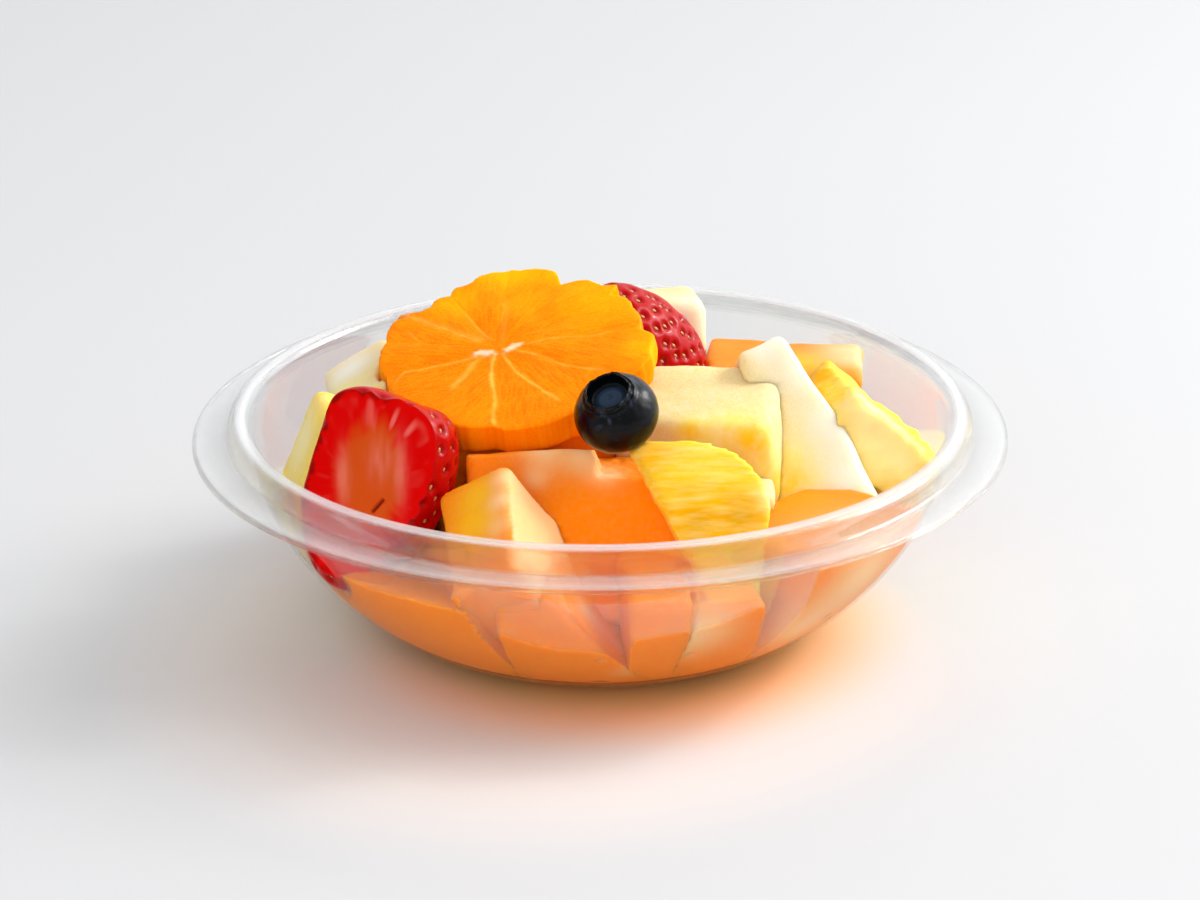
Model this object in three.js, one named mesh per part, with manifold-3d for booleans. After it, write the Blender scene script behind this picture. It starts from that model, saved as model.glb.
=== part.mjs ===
// Fruit salad in a clear plastic bowl: melon and pineapple chunks, two strawberries, a blueberry
// and a thick orange wheel on top.
// Millimetres, +Z up.  The bowl stands on z = 0 and its axis is the Z axis.
import * as THREE from 'three';
import { mergeVertices } from 'three/addons/utils/BufferGeometryUtils.js';
import Module from 'manifold-3d';

const wasm = await Module();
wasm.setup();

// ---- Driving dimensions ----

// Bowl, formed from one sheet.
const SHEET = 0.8;
const RIM_RADIUS = 92;
const FLANGE_HEIGHT = 46.5;
const LIP_DROP = 1.4;
const BEAD_WIDTH = 6;
const BEAD_HEIGHT = 5;
const BEAD_SQUARE = 0.7;
const WALL_RADIUS = 78.2;
const FOOT_RADIUS = 39.2;
const FOOT_WIDTH = 4;
const PANEL_RISE = 1.8;
const WALL_FLARE = 1.4;
const WALL_ROUND = 1.1;
const BOWL_SIDES = 44;
const WALL_STEPS = 9;
const BEAD_STEPS = 5;
const ROOM_SIDES = BOWL_SIDES / 2;
const PANEL_CORNERS = 3;
const TIGHTEST_BEND = 0.6;

// Clear space between pieces that lie against each other.
const GAP = 0.35;
const HEADROOM = 120;

// Chunks of fruit: the round of their cut edges, crisp or soft, or the bevel of a slab's, and how
// far their faces swell and sink.  Each wave of the swelling is radians per mm along x, y and z,
// then radians per seed.
const CUT_EDGE = 1.1;
const SOFT_EDGE = 2.4;
const SHARP_EDGE = 1.2;
const RIND_SIDES = 5;
const UNEVEN = 0.7;
const WAVES = [[0.13, 0.09, 0, 1.7], [0, 0.11, -0.12, 2.3], [0.14, 0, 0.10, 3.1]];

// Orange wheel: its pith is off its centre, and its membranes start there at these degrees.  Each
// segment stands out of the wheel's circle, or short of it, by its own reach.
const WHEEL_RADIUS = 31;
const WHEEL_THICKNESS = 9;
const WHEEL_EDGE = 0.9;
const WHEEL_SCALLOP = 1.3;
const SEGMENT_ROUND = 0.55;
const MEMBRANE_SINK = 0.5;
const PITH = [-3.7, -0.5];
const PITH_SINK = 0.5;
const MEMBRANES = [-91, -57, -25, 8, 36, 60, 88, 120, 145, 168, 197, 233];
const SEGMENT_REACH = [0, 0, 1, -0.5, -1.6, -0.8, 0, -2.4, 1, 1, 0.5, 0];
const STEPS_PER_SEGMENT = 4;

// Strawberries: fullness is the share of the radius near the tip and near the leaf end.
const BERRY_FULLNESS = [0.78, 1.08];
const BERRY_ROUND = 0.85;
const BERRY_CUT = 7;
const BERRY_SIDES = 24;
const BERRY_RINGS = 13;
const LEAF_DIP = 3.5;
const LEAF_DIP_RINGS = 2;
const SEED_RELIEF = 0.45;
const SEED_PITCH = 7;
const SEEDS_AROUND = 6;
const OUT_OF_ROUND = 0.5;

// Blueberry.  Its crown's cup is narrower than the crown by these shares at the mouth and floor.
const BLUE_FLATTEN = 0.86;
const CROWN_RADIUS = 4.3;
const CROWN_HEIGHT = 0.7;
const CROWN_DEPTH = 1.6;
const CUP_MOUTH = 0.86;
const CUP_FLOOR = 0.7;
const CROWN_LOBES = 5;
const LOBE_HEIGHT = 0.5;
const BLUE_SIDES = 20;
const BLUE_RINGS = 9;

const FINISH = {
  clear: { color: 0xeef1f0, roughness: 0.08, metalness: 0, transparent: true, opacity: 0.3 },
  orange: { color: 0xff9a05, roughness: 0.35, metalness: 0 },
  strawberry: { color: 0xd8121a, roughness: 0.3, metalness: 0 },
  blueberry: { color: 0x18202e, roughness: 0.4, metalness: 0 },
  cantaloupe: { color: 0xf9913f, roughness: 0.4, metalness: 0 },
  honeydew: { color: 0xf1ecc9, roughness: 0.4, metalness: 0 },
  pineapple: { color: 0xf7cf3e, roughness: 0.45, metalness: 0 },
};

// ---- Solids and booleans ----

// Keeps the positions alone, joins the corners that coincide and drops triangles with no area.
function weld(geometry) {
  const bare = geometry.clone();
  bare.deleteAttribute('normal');
  bare.deleteAttribute('uv');
  const merged = mergeVertices(bare, 1e-4);
  const index = merged.index.array;
  const kept = [];
  for (let i = 0; i < index.length; i += 3) {
    const [a, b, c] = [index[i], index[i + 1], index[i + 2]];
    if (a !== b && b !== c && c !== a) kept.push(a, b, c);
  }
  merged.setIndex(kept);
  return merged;
}

function toSolid(geometry, matrix) {
  const placed = weld(geometry);
  placed.applyMatrix4(matrix);
  const vertProperties = new Float32Array(placed.attributes.position.array);
  const triVerts = new Uint32Array(placed.index.array);
  return new wasm.Manifold(new wasm.Mesh({ numProp: 3, vertProperties, triVerts }));
}

function toGeometry(solid, matrix) {
  const mesh = solid.getMesh();
  const geometry = new THREE.BufferGeometry();
  geometry.setAttribute('position', new THREE.BufferAttribute(mesh.vertProperties, 3));
  geometry.setIndex(new THREE.BufferAttribute(mesh.triVerts, 1));
  return geometry.applyMatrix4(matrix);
}

function largestPart(solid) {
  const parts = solid.decompose();
  parts.sort((a, b) => b.volume() - a.volume());
  return parts[0];
}

// ---- Bowl ----

// The sheet's inner face, from the axis over the foot, up the wall and over the bead to the lip.
function bowlPath() {
  const panelTop = PANEL_RISE + SHEET;
  const path = [
    new THREE.Vector2(0, panelTop),
    new THREE.Vector2(FOOT_RADIUS - FOOT_WIDTH - PANEL_RISE, panelTop),
    new THREE.Vector2(FOOT_RADIUS - FOOT_WIDTH, SHEET),
  ];
  for (let i = 0; i <= WALL_STEPS; i += 1) {
    const turn = (i / WALL_STEPS) * (Math.PI / 2);
    const out = Math.sin(turn) ** WALL_FLARE;
    const up = 1 - Math.cos(turn) ** WALL_ROUND;
    path.push(new THREE.Vector2(
      FOOT_RADIUS + (WALL_RADIUS - FOOT_RADIUS) * out,
      SHEET + (FLANGE_HEIGHT - SHEET) * up,
    ));
  }
  for (let i = 1; i <= BEAD_STEPS; i += 1) {
    const turn = Math.PI * (1 - i / BEAD_STEPS);
    path.push(new THREE.Vector2(
      WALL_RADIUS + (BEAD_WIDTH / 2) * (1 + Math.cos(turn)),
      FLANGE_HEIGHT + BEAD_HEIGHT * Math.sin(turn) ** BEAD_SQUARE,
    ));
  }
  path.push(new THREE.Vector2(RIM_RADIUS - LIP_DROP / 2, FLANGE_HEIGHT));
  path.push(new THREE.Vector2(RIM_RADIUS, FLANGE_HEIGHT - LIP_DROP / 2));
  path.push(new THREE.Vector2(RIM_RADIUS, FLANGE_HEIGHT - LIP_DROP));
  return path;
}

// Moves a path sideways by `offset`, to the right of its direction, keeping sharp bends in step.
function offsetPath(path, offset) {
  return path.map((point, i) => {
    const before = path[Math.max(i - 1, 0)];
    const after = path[Math.min(i + 1, path.length - 1)];
    const into = point.clone().sub(before).normalize();
    const away = after.clone().sub(point).normalize();
    if (i === 0) into.copy(away);
    if (i === path.length - 1) away.copy(into);
    const along = into.clone().add(away).normalize();
    const stretch = 1 / Math.max(along.dot(into), TIGHTEST_BEND);
    const moved = new THREE.Vector2(along.y, -along.x).multiplyScalar(offset * stretch).add(point);
    if (i === 0) moved.x = 0;
    return moved;
  });
}

// LatheGeometry turns about Y; this stands it on Z.
function lathe(outline, sides) {
  return new THREE.LatheGeometry(outline, sides).rotateX(Math.PI / 2);
}

// The sheet turned about its axis, with the foot's underside flattened on to z = 0.
function bowlGeometry() {
  const inner = bowlPath();
  const outer = offsetPath(inner, SHEET);
  for (const point of outer) {
    if (point.y < SHEET / 2 && point.x > FOOT_RADIUS - FOOT_WIDTH - SHEET) point.y = 0;
  }
  return lathe([...outer, ...inner.reverse()], BOWL_SIDES);
}

// The room inside the bowl, up past the rim, less the gap to its wall.  Its sides are flats
// between every other corner of the bowl, so they stay inside the wall.
function roomInBowl() {
  const panelAndWall = bowlPath().slice(0, PANEL_CORNERS + WALL_STEPS + 1);
  const kept = (point, i) => i < PANEL_CORNERS || i % 2 === 0;
  const room = offsetPath(panelAndWall, -GAP).filter(kept);
  const top = room[room.length - 1];
  room.push(new THREE.Vector2(top.x, HEADROOM));
  room.push(new THREE.Vector2(0, HEADROOM));
  return toSolid(lathe(room, ROOM_SIDES), new THREE.Matrix4());
}

// ---- Fruit shapes; `grow` makes the same shape larger by that much all round ----

// A smooth uneven swelling, the same for the same place and seed.
function unevenness({ x, y, z }, seed) {
  const heights = WAVES.map(([u, v, w, shift]) => Math.sin(u * x + v * y + w * z + shift * seed));
  return heights.reduce((sum, height) => sum + height) / WAVES.length;
}

function eachPoint(geometry, change) {
  const position = geometry.attributes.position;
  const point = new THREE.Vector3();
  for (let i = 0; i < position.count; i += 1) {
    change(point.fromBufferAttribute(position, i));
    position.setXYZ(i, point.x, point.y, point.z);
  }
  return geometry;
}

// A cut block: a box with rounded edges whose top may be narrower, set over or bowed outwards.
function block(piece, grow) {
  const { size, taper = [1, 1], shift = [0, 0], bow = 0 } = piece;
  const { edge = CUT_EDGE, seed = 1, cells = 4 } = piece;
  const half = size.map((side) => side / 2 + grow);
  const round = edge + grow;
  const levels = half.map((h) => [-h, round - h, ...(cells > 3 ? [0] : []), h - round, h]);
  const box = weld(new THREE.BoxGeometry(1, 1, 1, cells, cells, cells));
  return eachPoint(box, (point) => {
    const cell = point.toArray().map((share) => Math.round((share + 0.5) * cells));
    point.set(...cell.map((step, axis) => levels[axis][step]));
    const reach = new THREE.Vector3(...half).subScalar(round);
    const core = point.clone().clamp(reach.clone().negate(), reach);
    const out = point.clone().sub(core).normalize();
    point.copy(core).addScaledVector(out, round + UNEVEN * unevenness(point, seed));
    const rise = point.z / half[2] / 2 + 0.5;
    const middle = 1 - (point.z / half[2]) ** 2;
    point.x *= 1 + (taper[0] - 1) * rise;
    point.y *= 1 + (taper[1] - 1) * rise;
    point.x += shift[0] * (rise - 0.5) + bow * middle;
    point.y += shift[1] * (rise - 0.5);
  });
}

// A slab cut across a fruit: its upper face is a four-sided outline whose far right corner is a
// round stretch of rind side, and its lower face is smaller and set over.
function slab({ corners, curve, thick, taper, shift }, grow) {
  const wider = grow - SHARP_EDGE;
  const depth = thick + 2 * wider;
  const shape = new THREE.Shape();
  const [first, second, third, last] = corners;
  shape.moveTo(...first);
  shape.lineTo(...second);
  shape.quadraticCurveTo(...curve, ...third);
  shape.lineTo(...last);
  shape.closePath();
  const body = new THREE.ExtrudeGeometry(shape, {
    depth,
    bevelThickness: SHARP_EDGE,
    bevelSize: SHARP_EDGE,
    bevelOffset: wider,
    bevelSegments: 1,
    curveSegments: RIND_SIDES,
  });
  body.translate(0, 0, -depth - SHARP_EDGE + grow);
  return eachPoint(body, (point) => {
    const fall = -point.z / thick;
    point.x *= 1 + (taper - 1) * fall;
    point.y *= 1 + (taper - 1) * fall;
    point.x += shift[0] * fall;
    point.y += shift[1] * fall;
  });
}

// Spokes from the pith, each with how hollow its place is: 1 on a membrane, 0 amid a segment.
function wheelSpokes() {
  const spokes = [];
  MEMBRANES.forEach((start, i) => {
    const next = MEMBRANES[i + 1] ?? MEMBRANES[0] + 360;
    const shorter = Math.min(SEGMENT_REACH[i], SEGMENT_REACH.at(i - 1));
    for (let step = 0; step < STEPS_PER_SEGMENT; step += 1) {
      const part = step / STEPS_PER_SEGMENT;
      const angle = THREE.MathUtils.degToRad(start + (next - start) * part);
      const hollow = 1 - Math.sin(Math.PI * part) ** SEGMENT_ROUND;
      spokes.push({ angle, hollow, extra: step === 0 ? shorter : SEGMENT_REACH[i] });
    }
  });
  return spokes;
}

// How far the rim lies from the pith along a spoke.
function wheelReach({ angle, hollow, extra }, radius, grow) {
  const [px, py] = PITH;
  const toward = px * Math.cos(angle) + py * Math.sin(angle);
  const circle = -toward + Math.sqrt(toward ** 2 + radius ** 2 - px ** 2 - py ** 2);
  return circle + extra - WHEEL_SCALLOP * hollow + grow;
}

// A thick wheel cut across a peeled orange: its rim swells out over each segment and its upper
// face sinks a little along each membrane.  A ring's `out` is its share of the reach.
function orangeWheel({ radius, thickness }, grow) {
  const spokes = wheelSpokes();
  const half = thickness / 2 + grow;
  const points = [];
  const rings = [
    { out: 0.16, z: half - PITH_SINK / 2, relief: 0 },
    { out: 0.5, z: half, relief: 1 },
    { out: 0.86, z: half, relief: 1 },
    { out: 0.97, z: half - WHEEL_EDGE, relief: 0.5 },
    { out: 1, z: 0, relief: 0 },
    { out: 0.97, z: WHEEL_EDGE - half, relief: 0 },
    { out: 0.55, z: -half, relief: 0 },
  ];
  for (const { out, z, relief } of rings) {
    for (const spoke of spokes) {
      const far = wheelReach(spoke, radius, grow) * out;
      const x = PITH[0] + far * Math.cos(spoke.angle);
      const y = PITH[1] + far * Math.sin(spoke.angle);
      points.push(x, y, z - MEMBRANE_SINK * relief * spoke.hollow);
    }
  }
  points.push(...PITH, half - PITH_SINK);
  points.push(...PITH, -half);
  const count = spokes.length;
  const [top, bottom] = [rings.length * count, rings.length * count + 1];
  const last = (rings.length - 1) * count;
  const index = [];
  for (let i = 0; i < count; i += 1) {
    const next = (i + 1) % count;
    index.push(top, i, next);
    index.push(bottom, last + next, last + i);
    for (let ring = 0; ring < rings.length - 1; ring += 1) {
      const [a, b] = [ring * count + i, ring * count + next];
      index.push(a, a + count, b, b, a + count, b + count);
    }
  }
  const geometry = new THREE.BufferGeometry();
  geometry.setAttribute('position', new THREE.Float32BufferAttribute(points, 3));
  return geometry.setIndex(index);
}

// A strawberry on its own axis, tip at -z, with seed rows as low relief.  `cut` slices its -y side.
function strawberry({ radius, length }, grow) {
  const outline = [];
  for (let i = 0; i <= BERRY_RINGS; i += 1) {
    const share = i / BERRY_RINGS;
    const polar = Math.PI * share;
    const fullness = Math.sin(polar) ** BERRY_ROUND * THREE.MathUtils.lerp(...BERRY_FULLNESS, share);
    const far = i % BERRY_RINGS === 0 ? 0 : radius * fullness + grow;
    const dip = LEAF_DIP * Math.exp(-(((BERRY_RINGS - i) / LEAF_DIP_RINGS) ** 2));
    const z = -(length / 2) * Math.cos(polar) - dip;
    outline.push(new THREE.Vector2(far, z * (1 + grow / length)));
  }
  const climb = (2 * Math.PI) / SEED_PITCH;
  return eachPoint(weld(lathe(outline, BERRY_SIDES)), (point) => {
    const around = Math.atan2(point.y, point.x);
    const far = Math.hypot(point.x, point.y);
    const seeds = Math.sin(climb * point.z) * Math.sin(SEEDS_AROUND * around + (climb / 2) * point.z);
    const swell = SEED_RELIEF * seeds + OUT_OF_ROUND * Math.sin(2 * around);
    const scale = far > 1 ? 1 + swell / far : 1;
    point.x *= scale;
    point.y *= scale;
  });
}

// A blueberry with its crown at +z: a shallow cup ringed by low lobes.
function blueberry({ radius }, grow) {
  const outline = [];
  const rim = Math.asin(CROWN_RADIUS / radius);
  for (let i = 0; i <= BLUE_RINGS; i += 1) {
    const polar = THREE.MathUtils.lerp(Math.PI, rim, i / BLUE_RINGS);
    const far = i === 0 ? 0 : (radius + grow) * Math.sin(polar);
    outline.push(new THREE.Vector2(far, (radius + grow) * BLUE_FLATTEN * Math.cos(polar)));
  }
  const lip = outline[BLUE_RINGS].y;
  outline.push(new THREE.Vector2(CROWN_RADIUS * CUP_MOUTH, lip + CROWN_HEIGHT + grow));
  outline.push(new THREE.Vector2(CROWN_RADIUS * CUP_FLOOR, lip - CROWN_DEPTH + grow));
  outline.push(new THREE.Vector2(0, lip - CROWN_DEPTH * CUP_FLOOR + grow));
  return eachPoint(weld(lathe(outline, BLUE_SIDES)), (point) => {
    const far = Math.hypot(point.x, point.y);
    const onLip = point.z > lip && far > CROWN_RADIUS / 2;
    if (onLip) point.z += LOBE_HEIGHT * Math.cos(CROWN_LOBES * Math.atan2(point.y, point.x));
  });
}

// ---- The pieces, most visible first: each later one gives way to those before it ----

// `at` is a piece's place in mm and `turn` its turn about x, y and z in degrees, x first.

const PIECES = [
  { name: 'orange_wheel', fruit: 'orange', shape: orangeWheel, at: [-18.5, 2, 61.5],
    turn: [17, -5, -3], radius: WHEEL_RADIUS, thickness: WHEEL_THICKNESS },
  { name: 'blueberry', fruit: 'blueberry', shape: blueberry, at: [3.6, -31, 61], turn: [29, -17, 0],
    radius: 9.3 },
  { name: 'strawberry_cut', fruit: 'strawberry', shape: strawberry, at: [-48.5, -35, 45.5],
    turn: [-24, 14, -22], radius: 16.5, length: 47, cut: true },
  { name: 'strawberry_whole', fruit: 'strawberry', shape: strawberry, at: [8, 26, 53.8],
    turn: [10, -55, 0], radius: 15, length: 38 },
  { name: 'pineapple_front', fruit: 'pineapple', shape: slab, at: [21.5, -36, 53], turn: [28, 0, 0],
    corners: [[-17, 4.8], [-2, 6.6], [15.8, -11], [-7.4, -16.2]], curve: [12, 4], thick: 14,
    taper: 0.35, shift: [6.5, -27] },
  { name: 'honeydew_middle', fruit: 'honeydew', at: [23, -6, 44.5], turn: [10, 0, -10], size: [37, 30, 24],
    taper: [0.9, 0.85], edge: SOFT_EDGE, seed: 4 },
  { name: 'honeydew_tall', fruit: 'honeydew', at: [43, -5, 43], turn: [-32, -20, 16], size: [27, 20, 46],
    taper: [0.4, 0.7], shift: [5, 0], bow: 2, edge: SOFT_EDGE, seed: 3 },
  { name: 'cantaloupe_front', fruit: 'cantaloupe', at: [-18, -51, 33], turn: [41, 49, 39],
    size: [31, 28, 16], seed: 5 },
  { name: 'cantaloupe_centre', fruit: 'cantaloupe', at: [-4, -30, 29.5], turn: [-34, 0, 3],
    size: [52, 24, 38], taper: [0.8, 0.96], shift: [-9.6, 0], seed: 6 },
  { name: 'pineapple_right', fruit: 'pineapple', at: [61, 4.5, 40.5], turn: [0, 44, 14],
    size: [31, 26, 14], seed: 24 },
  { name: 'cantaloupe_back_right', fruit: 'cantaloupe', at: [43, 34, 37], turn: [0, 2, -4],
    size: [34, 24, 24], taper: [1.05, 1.05], seed: 7 },
  { name: 'honeydew_left', fruit: 'honeydew', at: [-47.5, 8, 44], turn: [0, -30, 10], size: [22, 32, 28],
    taper: [0.8, 0.85], edge: SOFT_EDGE, seed: 8 },
  { name: 'pineapple_left', fruit: 'pineapple', at: [-59.5, -16, 44], turn: [0, 18, 14],
    size: [14, 30, 24], taper: [0.8, 0.8], edge: SOFT_EDGE, seed: 9 },
  { name: 'honeydew_back', fruit: 'honeydew', at: [12, 48, 46], turn: [-8, 4, 8], size: [26, 22, 28],
    taper: [0.85, 0.85], edge: SOFT_EDGE, seed: 10 },
  { name: 'cantaloupe_back_left', fruit: 'cantaloupe', at: [-26, 46, 44], turn: [-14, 0, 24],
    size: [36, 26, 26], seed: 11 },
  { name: 'cantaloupe_low_front', fruit: 'cantaloupe', at: [-8.5, -52, 19], turn: [0, 0, 0],
    size: [31, 30, 34], taper: [0.42, 1], shift: [-18, 0], seed: 12, cells: 3 },
  { name: 'cantaloupe_low_left', fruit: 'cantaloupe', at: [-40, -48, 16], turn: [0, 0, -40],
    size: [44, 34, 31], seed: 13, cells: 3 },
  { name: 'cantaloupe_low_middle', fruit: 'cantaloupe', at: [10.5, -54, 19], turn: [0, 4, 6],
    size: [9, 30, 28], taper: [1.5, 1], seed: 14, cells: 3 },
  { name: 'cantaloupe_low_right', fruit: 'cantaloupe', at: [22.5, -52, 18.5], turn: [0, 0, 12],
    size: [18, 30, 27], seed: 15, cells: 3 },
  { name: 'cantaloupe_right', fruit: 'cantaloupe', at: [50, -38, 20], turn: [0, 0, 48],
    size: [38, 34, 36], seed: 16, cells: 3 },
  { name: 'honeydew_low_right', fruit: 'honeydew', at: [58, 4, 15], turn: [0, 0, 88], size: [38, 34, 26],
    seed: 17, cells: 3 },
  { name: 'cantaloupe_low_back_right', fruit: 'cantaloupe', at: [44, 44, 17], turn: [0, 0, 138],
    size: [36, 36, 30], seed: 18, cells: 3 },
  { name: 'pineapple_low_back', fruit: 'pineapple', at: [4, 54, 18], turn: [0, 0, 182], size: [36, 34, 32],
    seed: 19, cells: 3 },
  { name: 'cantaloupe_low_back_left', fruit: 'cantaloupe', at: [-36, 44, 18], turn: [0, 0, 218],
    size: [38, 34, 32], seed: 20, cells: 3 },
  { name: 'honeydew_low_left', fruit: 'honeydew', at: [-58, 2, 16], turn: [0, 0, 270], size: [40, 34, 28],
    seed: 21, cells: 3 },
  { name: 'cantaloupe_core_left', fruit: 'cantaloupe', at: [-18, 4, 32], turn: [0, 0, 8],
    size: [40, 44, 58], seed: 22, cells: 3 },
  { name: 'honeydew_core_right', fruit: 'honeydew', at: [22, -6, 22], turn: [0, 0, 0], size: [32, 54, 40],
    seed: 23, cells: 3 },
];

function placement({ at, turn }) {
  const angles = turn.map(THREE.MathUtils.degToRad);
  const spin = new THREE.Quaternion().setFromEuler(new THREE.Euler(...angles, 'ZYX'));
  return new THREE.Matrix4().compose(new THREE.Vector3(...at), spin, new THREE.Vector3(1, 1, 1));
}

// The half space in front of a strawberry's cut, in the strawberry's own frame.
function cutAway({ length }, grow) {
  const side = 4 * length;
  return new THREE.BoxGeometry(side, side, side).translate(0, -side / 2 - BERRY_CUT - grow, 0);
}

function pieceSolid(piece, grow) {
  const shape = piece.shape ?? block;
  const matrix = placement(piece);
  const solid = toSolid(shape(piece, grow), matrix);
  return piece.cut ? solid.subtract(toSolid(cutAway(piece, grow), matrix)) : solid;
}

function meshFor(name, finish, geometry) {
  const material = new THREE.MeshStandardMaterial(FINISH[finish]);
  const mesh = new THREE.Mesh(geometry, material);
  mesh.name = name;
  return mesh;
}

function salad() {
  const whole = new THREE.Group();
  whole.add(meshFor('bowl', 'clear', weld(bowlGeometry())));
  const room = roomInBowl();
  let taken = null;
  for (const piece of PIECES) {
    let solid = pieceSolid(piece, 0).intersect(room);
    if (taken) solid = solid.subtract(taken);
    solid = largestPart(solid);
    const matrix = placement(piece);
    const mesh = meshFor(piece.name, piece.fruit, toGeometry(solid, matrix.clone().invert()));
    mesh.applyMatrix4(matrix);
    whole.add(mesh);
    const grown = pieceSolid(piece, GAP);
    taken = taken ? taken.add(grown) : grown;
  }
  return whole;
}

export default salad();
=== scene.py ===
import math

import bmesh
import bpy
import numpy as np
from mathutils import Euler, Matrix, Vector


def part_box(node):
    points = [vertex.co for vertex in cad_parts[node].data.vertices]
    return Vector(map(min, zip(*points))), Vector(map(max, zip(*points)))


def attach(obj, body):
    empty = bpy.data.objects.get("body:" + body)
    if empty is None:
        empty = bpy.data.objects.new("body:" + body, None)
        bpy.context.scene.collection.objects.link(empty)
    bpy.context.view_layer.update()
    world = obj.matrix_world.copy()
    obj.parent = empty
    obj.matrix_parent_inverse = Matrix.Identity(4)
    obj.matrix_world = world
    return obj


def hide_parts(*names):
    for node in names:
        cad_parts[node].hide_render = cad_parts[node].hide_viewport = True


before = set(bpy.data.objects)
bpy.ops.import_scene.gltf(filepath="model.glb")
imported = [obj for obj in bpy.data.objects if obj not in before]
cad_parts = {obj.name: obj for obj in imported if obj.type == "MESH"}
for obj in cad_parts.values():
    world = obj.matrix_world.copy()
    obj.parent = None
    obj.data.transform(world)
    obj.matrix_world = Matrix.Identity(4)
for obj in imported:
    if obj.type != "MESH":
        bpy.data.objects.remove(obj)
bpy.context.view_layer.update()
MM = 0.001

# ---- Camera ----
# Stands in front of the bowl and looks down on it at about 22 degrees.  Its lens is long, so near
# and far pieces keep their sizes.  Lens and sensor are in mm.
CAMERA_DISTANCE = 800 * MM
CAMERA_RISE = math.radians(21.9)
CAMERA_TILT = math.radians(0.3)
LOOK_AT = Vector((0, 0, 39.85 * MM))
LENS = 105.53
SENSOR_WIDTH = 36

camera = bpy.data.objects.new("camera", bpy.data.cameras.new("camera"))
camera.data.lens = LENS
camera.data.sensor_width = SENSOR_WIDTH
away = Vector((0, -math.cos(CAMERA_RISE), math.sin(CAMERA_RISE)))
turn = Matrix.Rotation(math.pi / 2 - CAMERA_RISE, 4, "X") @ Matrix.Rotation(-CAMERA_TILT, 4, "Z")
camera.matrix_world = Matrix.Translation(LOOK_AT + CAMERA_DISTANCE * away) @ turn
bpy.context.scene.collection.objects.link(camera)
bpy.context.scene.camera = camera

# ---- Bowl ----
# One thin sheet of clear PET, drawn hot into a mould: a raised panel inside a ring foot, a wall
# that sweeps up, a hollow bead that stiffens the rim, and a flat flange that ends in a short lip.
SHEET = 0.8 * MM
RIM_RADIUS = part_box("bowl")[1].x
FLANGE_HEIGHT = 46.5 * MM
LIP_DROP = 1.4 * MM
BEAD_WIDTH = 6 * MM
BEAD_HEIGHT = 5 * MM
BEAD_SQUARE = 0.7
WALL_RADIUS = 78.2 * MM
FOOT_RADIUS = 39.2 * MM
FOOT_WIDTH = 4 * MM
PANEL_RISE = 1.8 * MM
WALL_FLARE = 1.4
WALL_ROUND = 1.1
BOWL_SIDES = 176
WALL_STEPS = 36
PANEL_POINTS = 3
BEAD_STEPS = 20
OUTER_EASE = 0.9 * MM
INNER_EASE = 0.7 * MM


def srgb(code):
    """A hex colour as linear red, green, blue and alpha."""
    parts = [int(code[i:i + 2], 16) / 255 for i in (0, 2, 4)]
    return [p / 12.92 if p <= 0.04045 else ((p + 0.055) / 1.055) ** 2.4 for p in parts] + [1]


def add(material, kind, inputs=None, **settings):
    """Adds a shader node, with its settings and its inputs, linked where one is a socket."""
    tree = material.node_tree
    node = tree.nodes.new("ShaderNode" + kind)
    for name, value in settings.items():
        setattr(node, name, value)
    for key, value in (inputs or {}).items():
        if isinstance(value, bpy.types.NodeSocket):
            tree.links.new(value, node.inputs[key])
        else:
            node.inputs[key].default_value = value
    return node


def empty_material(name):
    material = bpy.data.materials.new(name)
    material.use_nodes = True
    material.node_tree.nodes.clear()
    return material


def finish_material(material, shader):
    add(material, "OutputMaterial", {"Surface": shader})
    return material


def fine_relief(material, size, detail, strength, depth):
    """The normal of a surface with a fine unevenness of that size and depth."""
    waves = add(material, "TexNoise", {"Scale": 1 / size, "Detail": detail})
    bump = add(material, "Bump", {"Strength": strength, "Distance": depth, "Height": waves.outputs[0]})
    return bump.outputs[0]


def let_light_through(material, shader, colour, thinness=0.0):
    """Lets the lamps shine straight through a clear shader, and the view too by the share thinness."""
    clear = add(material, "BsdfTransparent", {"Color": srgb(colour)})
    path = add(material, "LightPath")
    through = add(material, "Math", {0: path.outputs["Is Shadow Ray"], 1: thinness}, operation="MAXIMUM")
    seen = add(material, "MixShader", {0: through.outputs[0], 1: shader, 2: clear.outputs[0]})
    return seen.outputs[0]


def mesh_object(name, points, faces):
    """A smooth-shaded object from points and faces."""
    mesh = bpy.data.meshes.new(name)
    mesh.from_pydata([tuple(p) for p in points], [], faces)
    mesh.shade_smooth()
    piece = bpy.data.objects.new(name, mesh)
    bpy.context.scene.collection.objects.link(piece)
    return piece


def read_points(mesh):
    flat = np.empty(len(mesh.vertices) * 3)
    mesh.vertices.foreach_get("co", flat)
    return flat.reshape(-1, 3)


def read_normals(mesh):
    flat = np.empty(len(mesh.vertices) * 3, np.float32)
    mesh.vertex_normals.foreach_get("vector", flat)
    return flat.reshape(-1, 3).astype(float)


def write_points(mesh, points):
    mesh.vertices.foreach_set("co", points.ravel())
    mesh.update()


def write_field(mesh, name, values):
    """Keeps one number for each point of a mesh, for its material to read."""
    field = mesh.attributes.new(name, "FLOAT", "POINT")
    field.data.foreach_set("value", np.asarray(values, np.float32))


def place(piece, material, slot, *nodes):
    """Gives a finished piece its material, hangs it on the root body and hides the parts it replaces."""
    piece.data.materials.append(material)
    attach(piece, "root")
    if nodes:
        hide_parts(*nodes)


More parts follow.
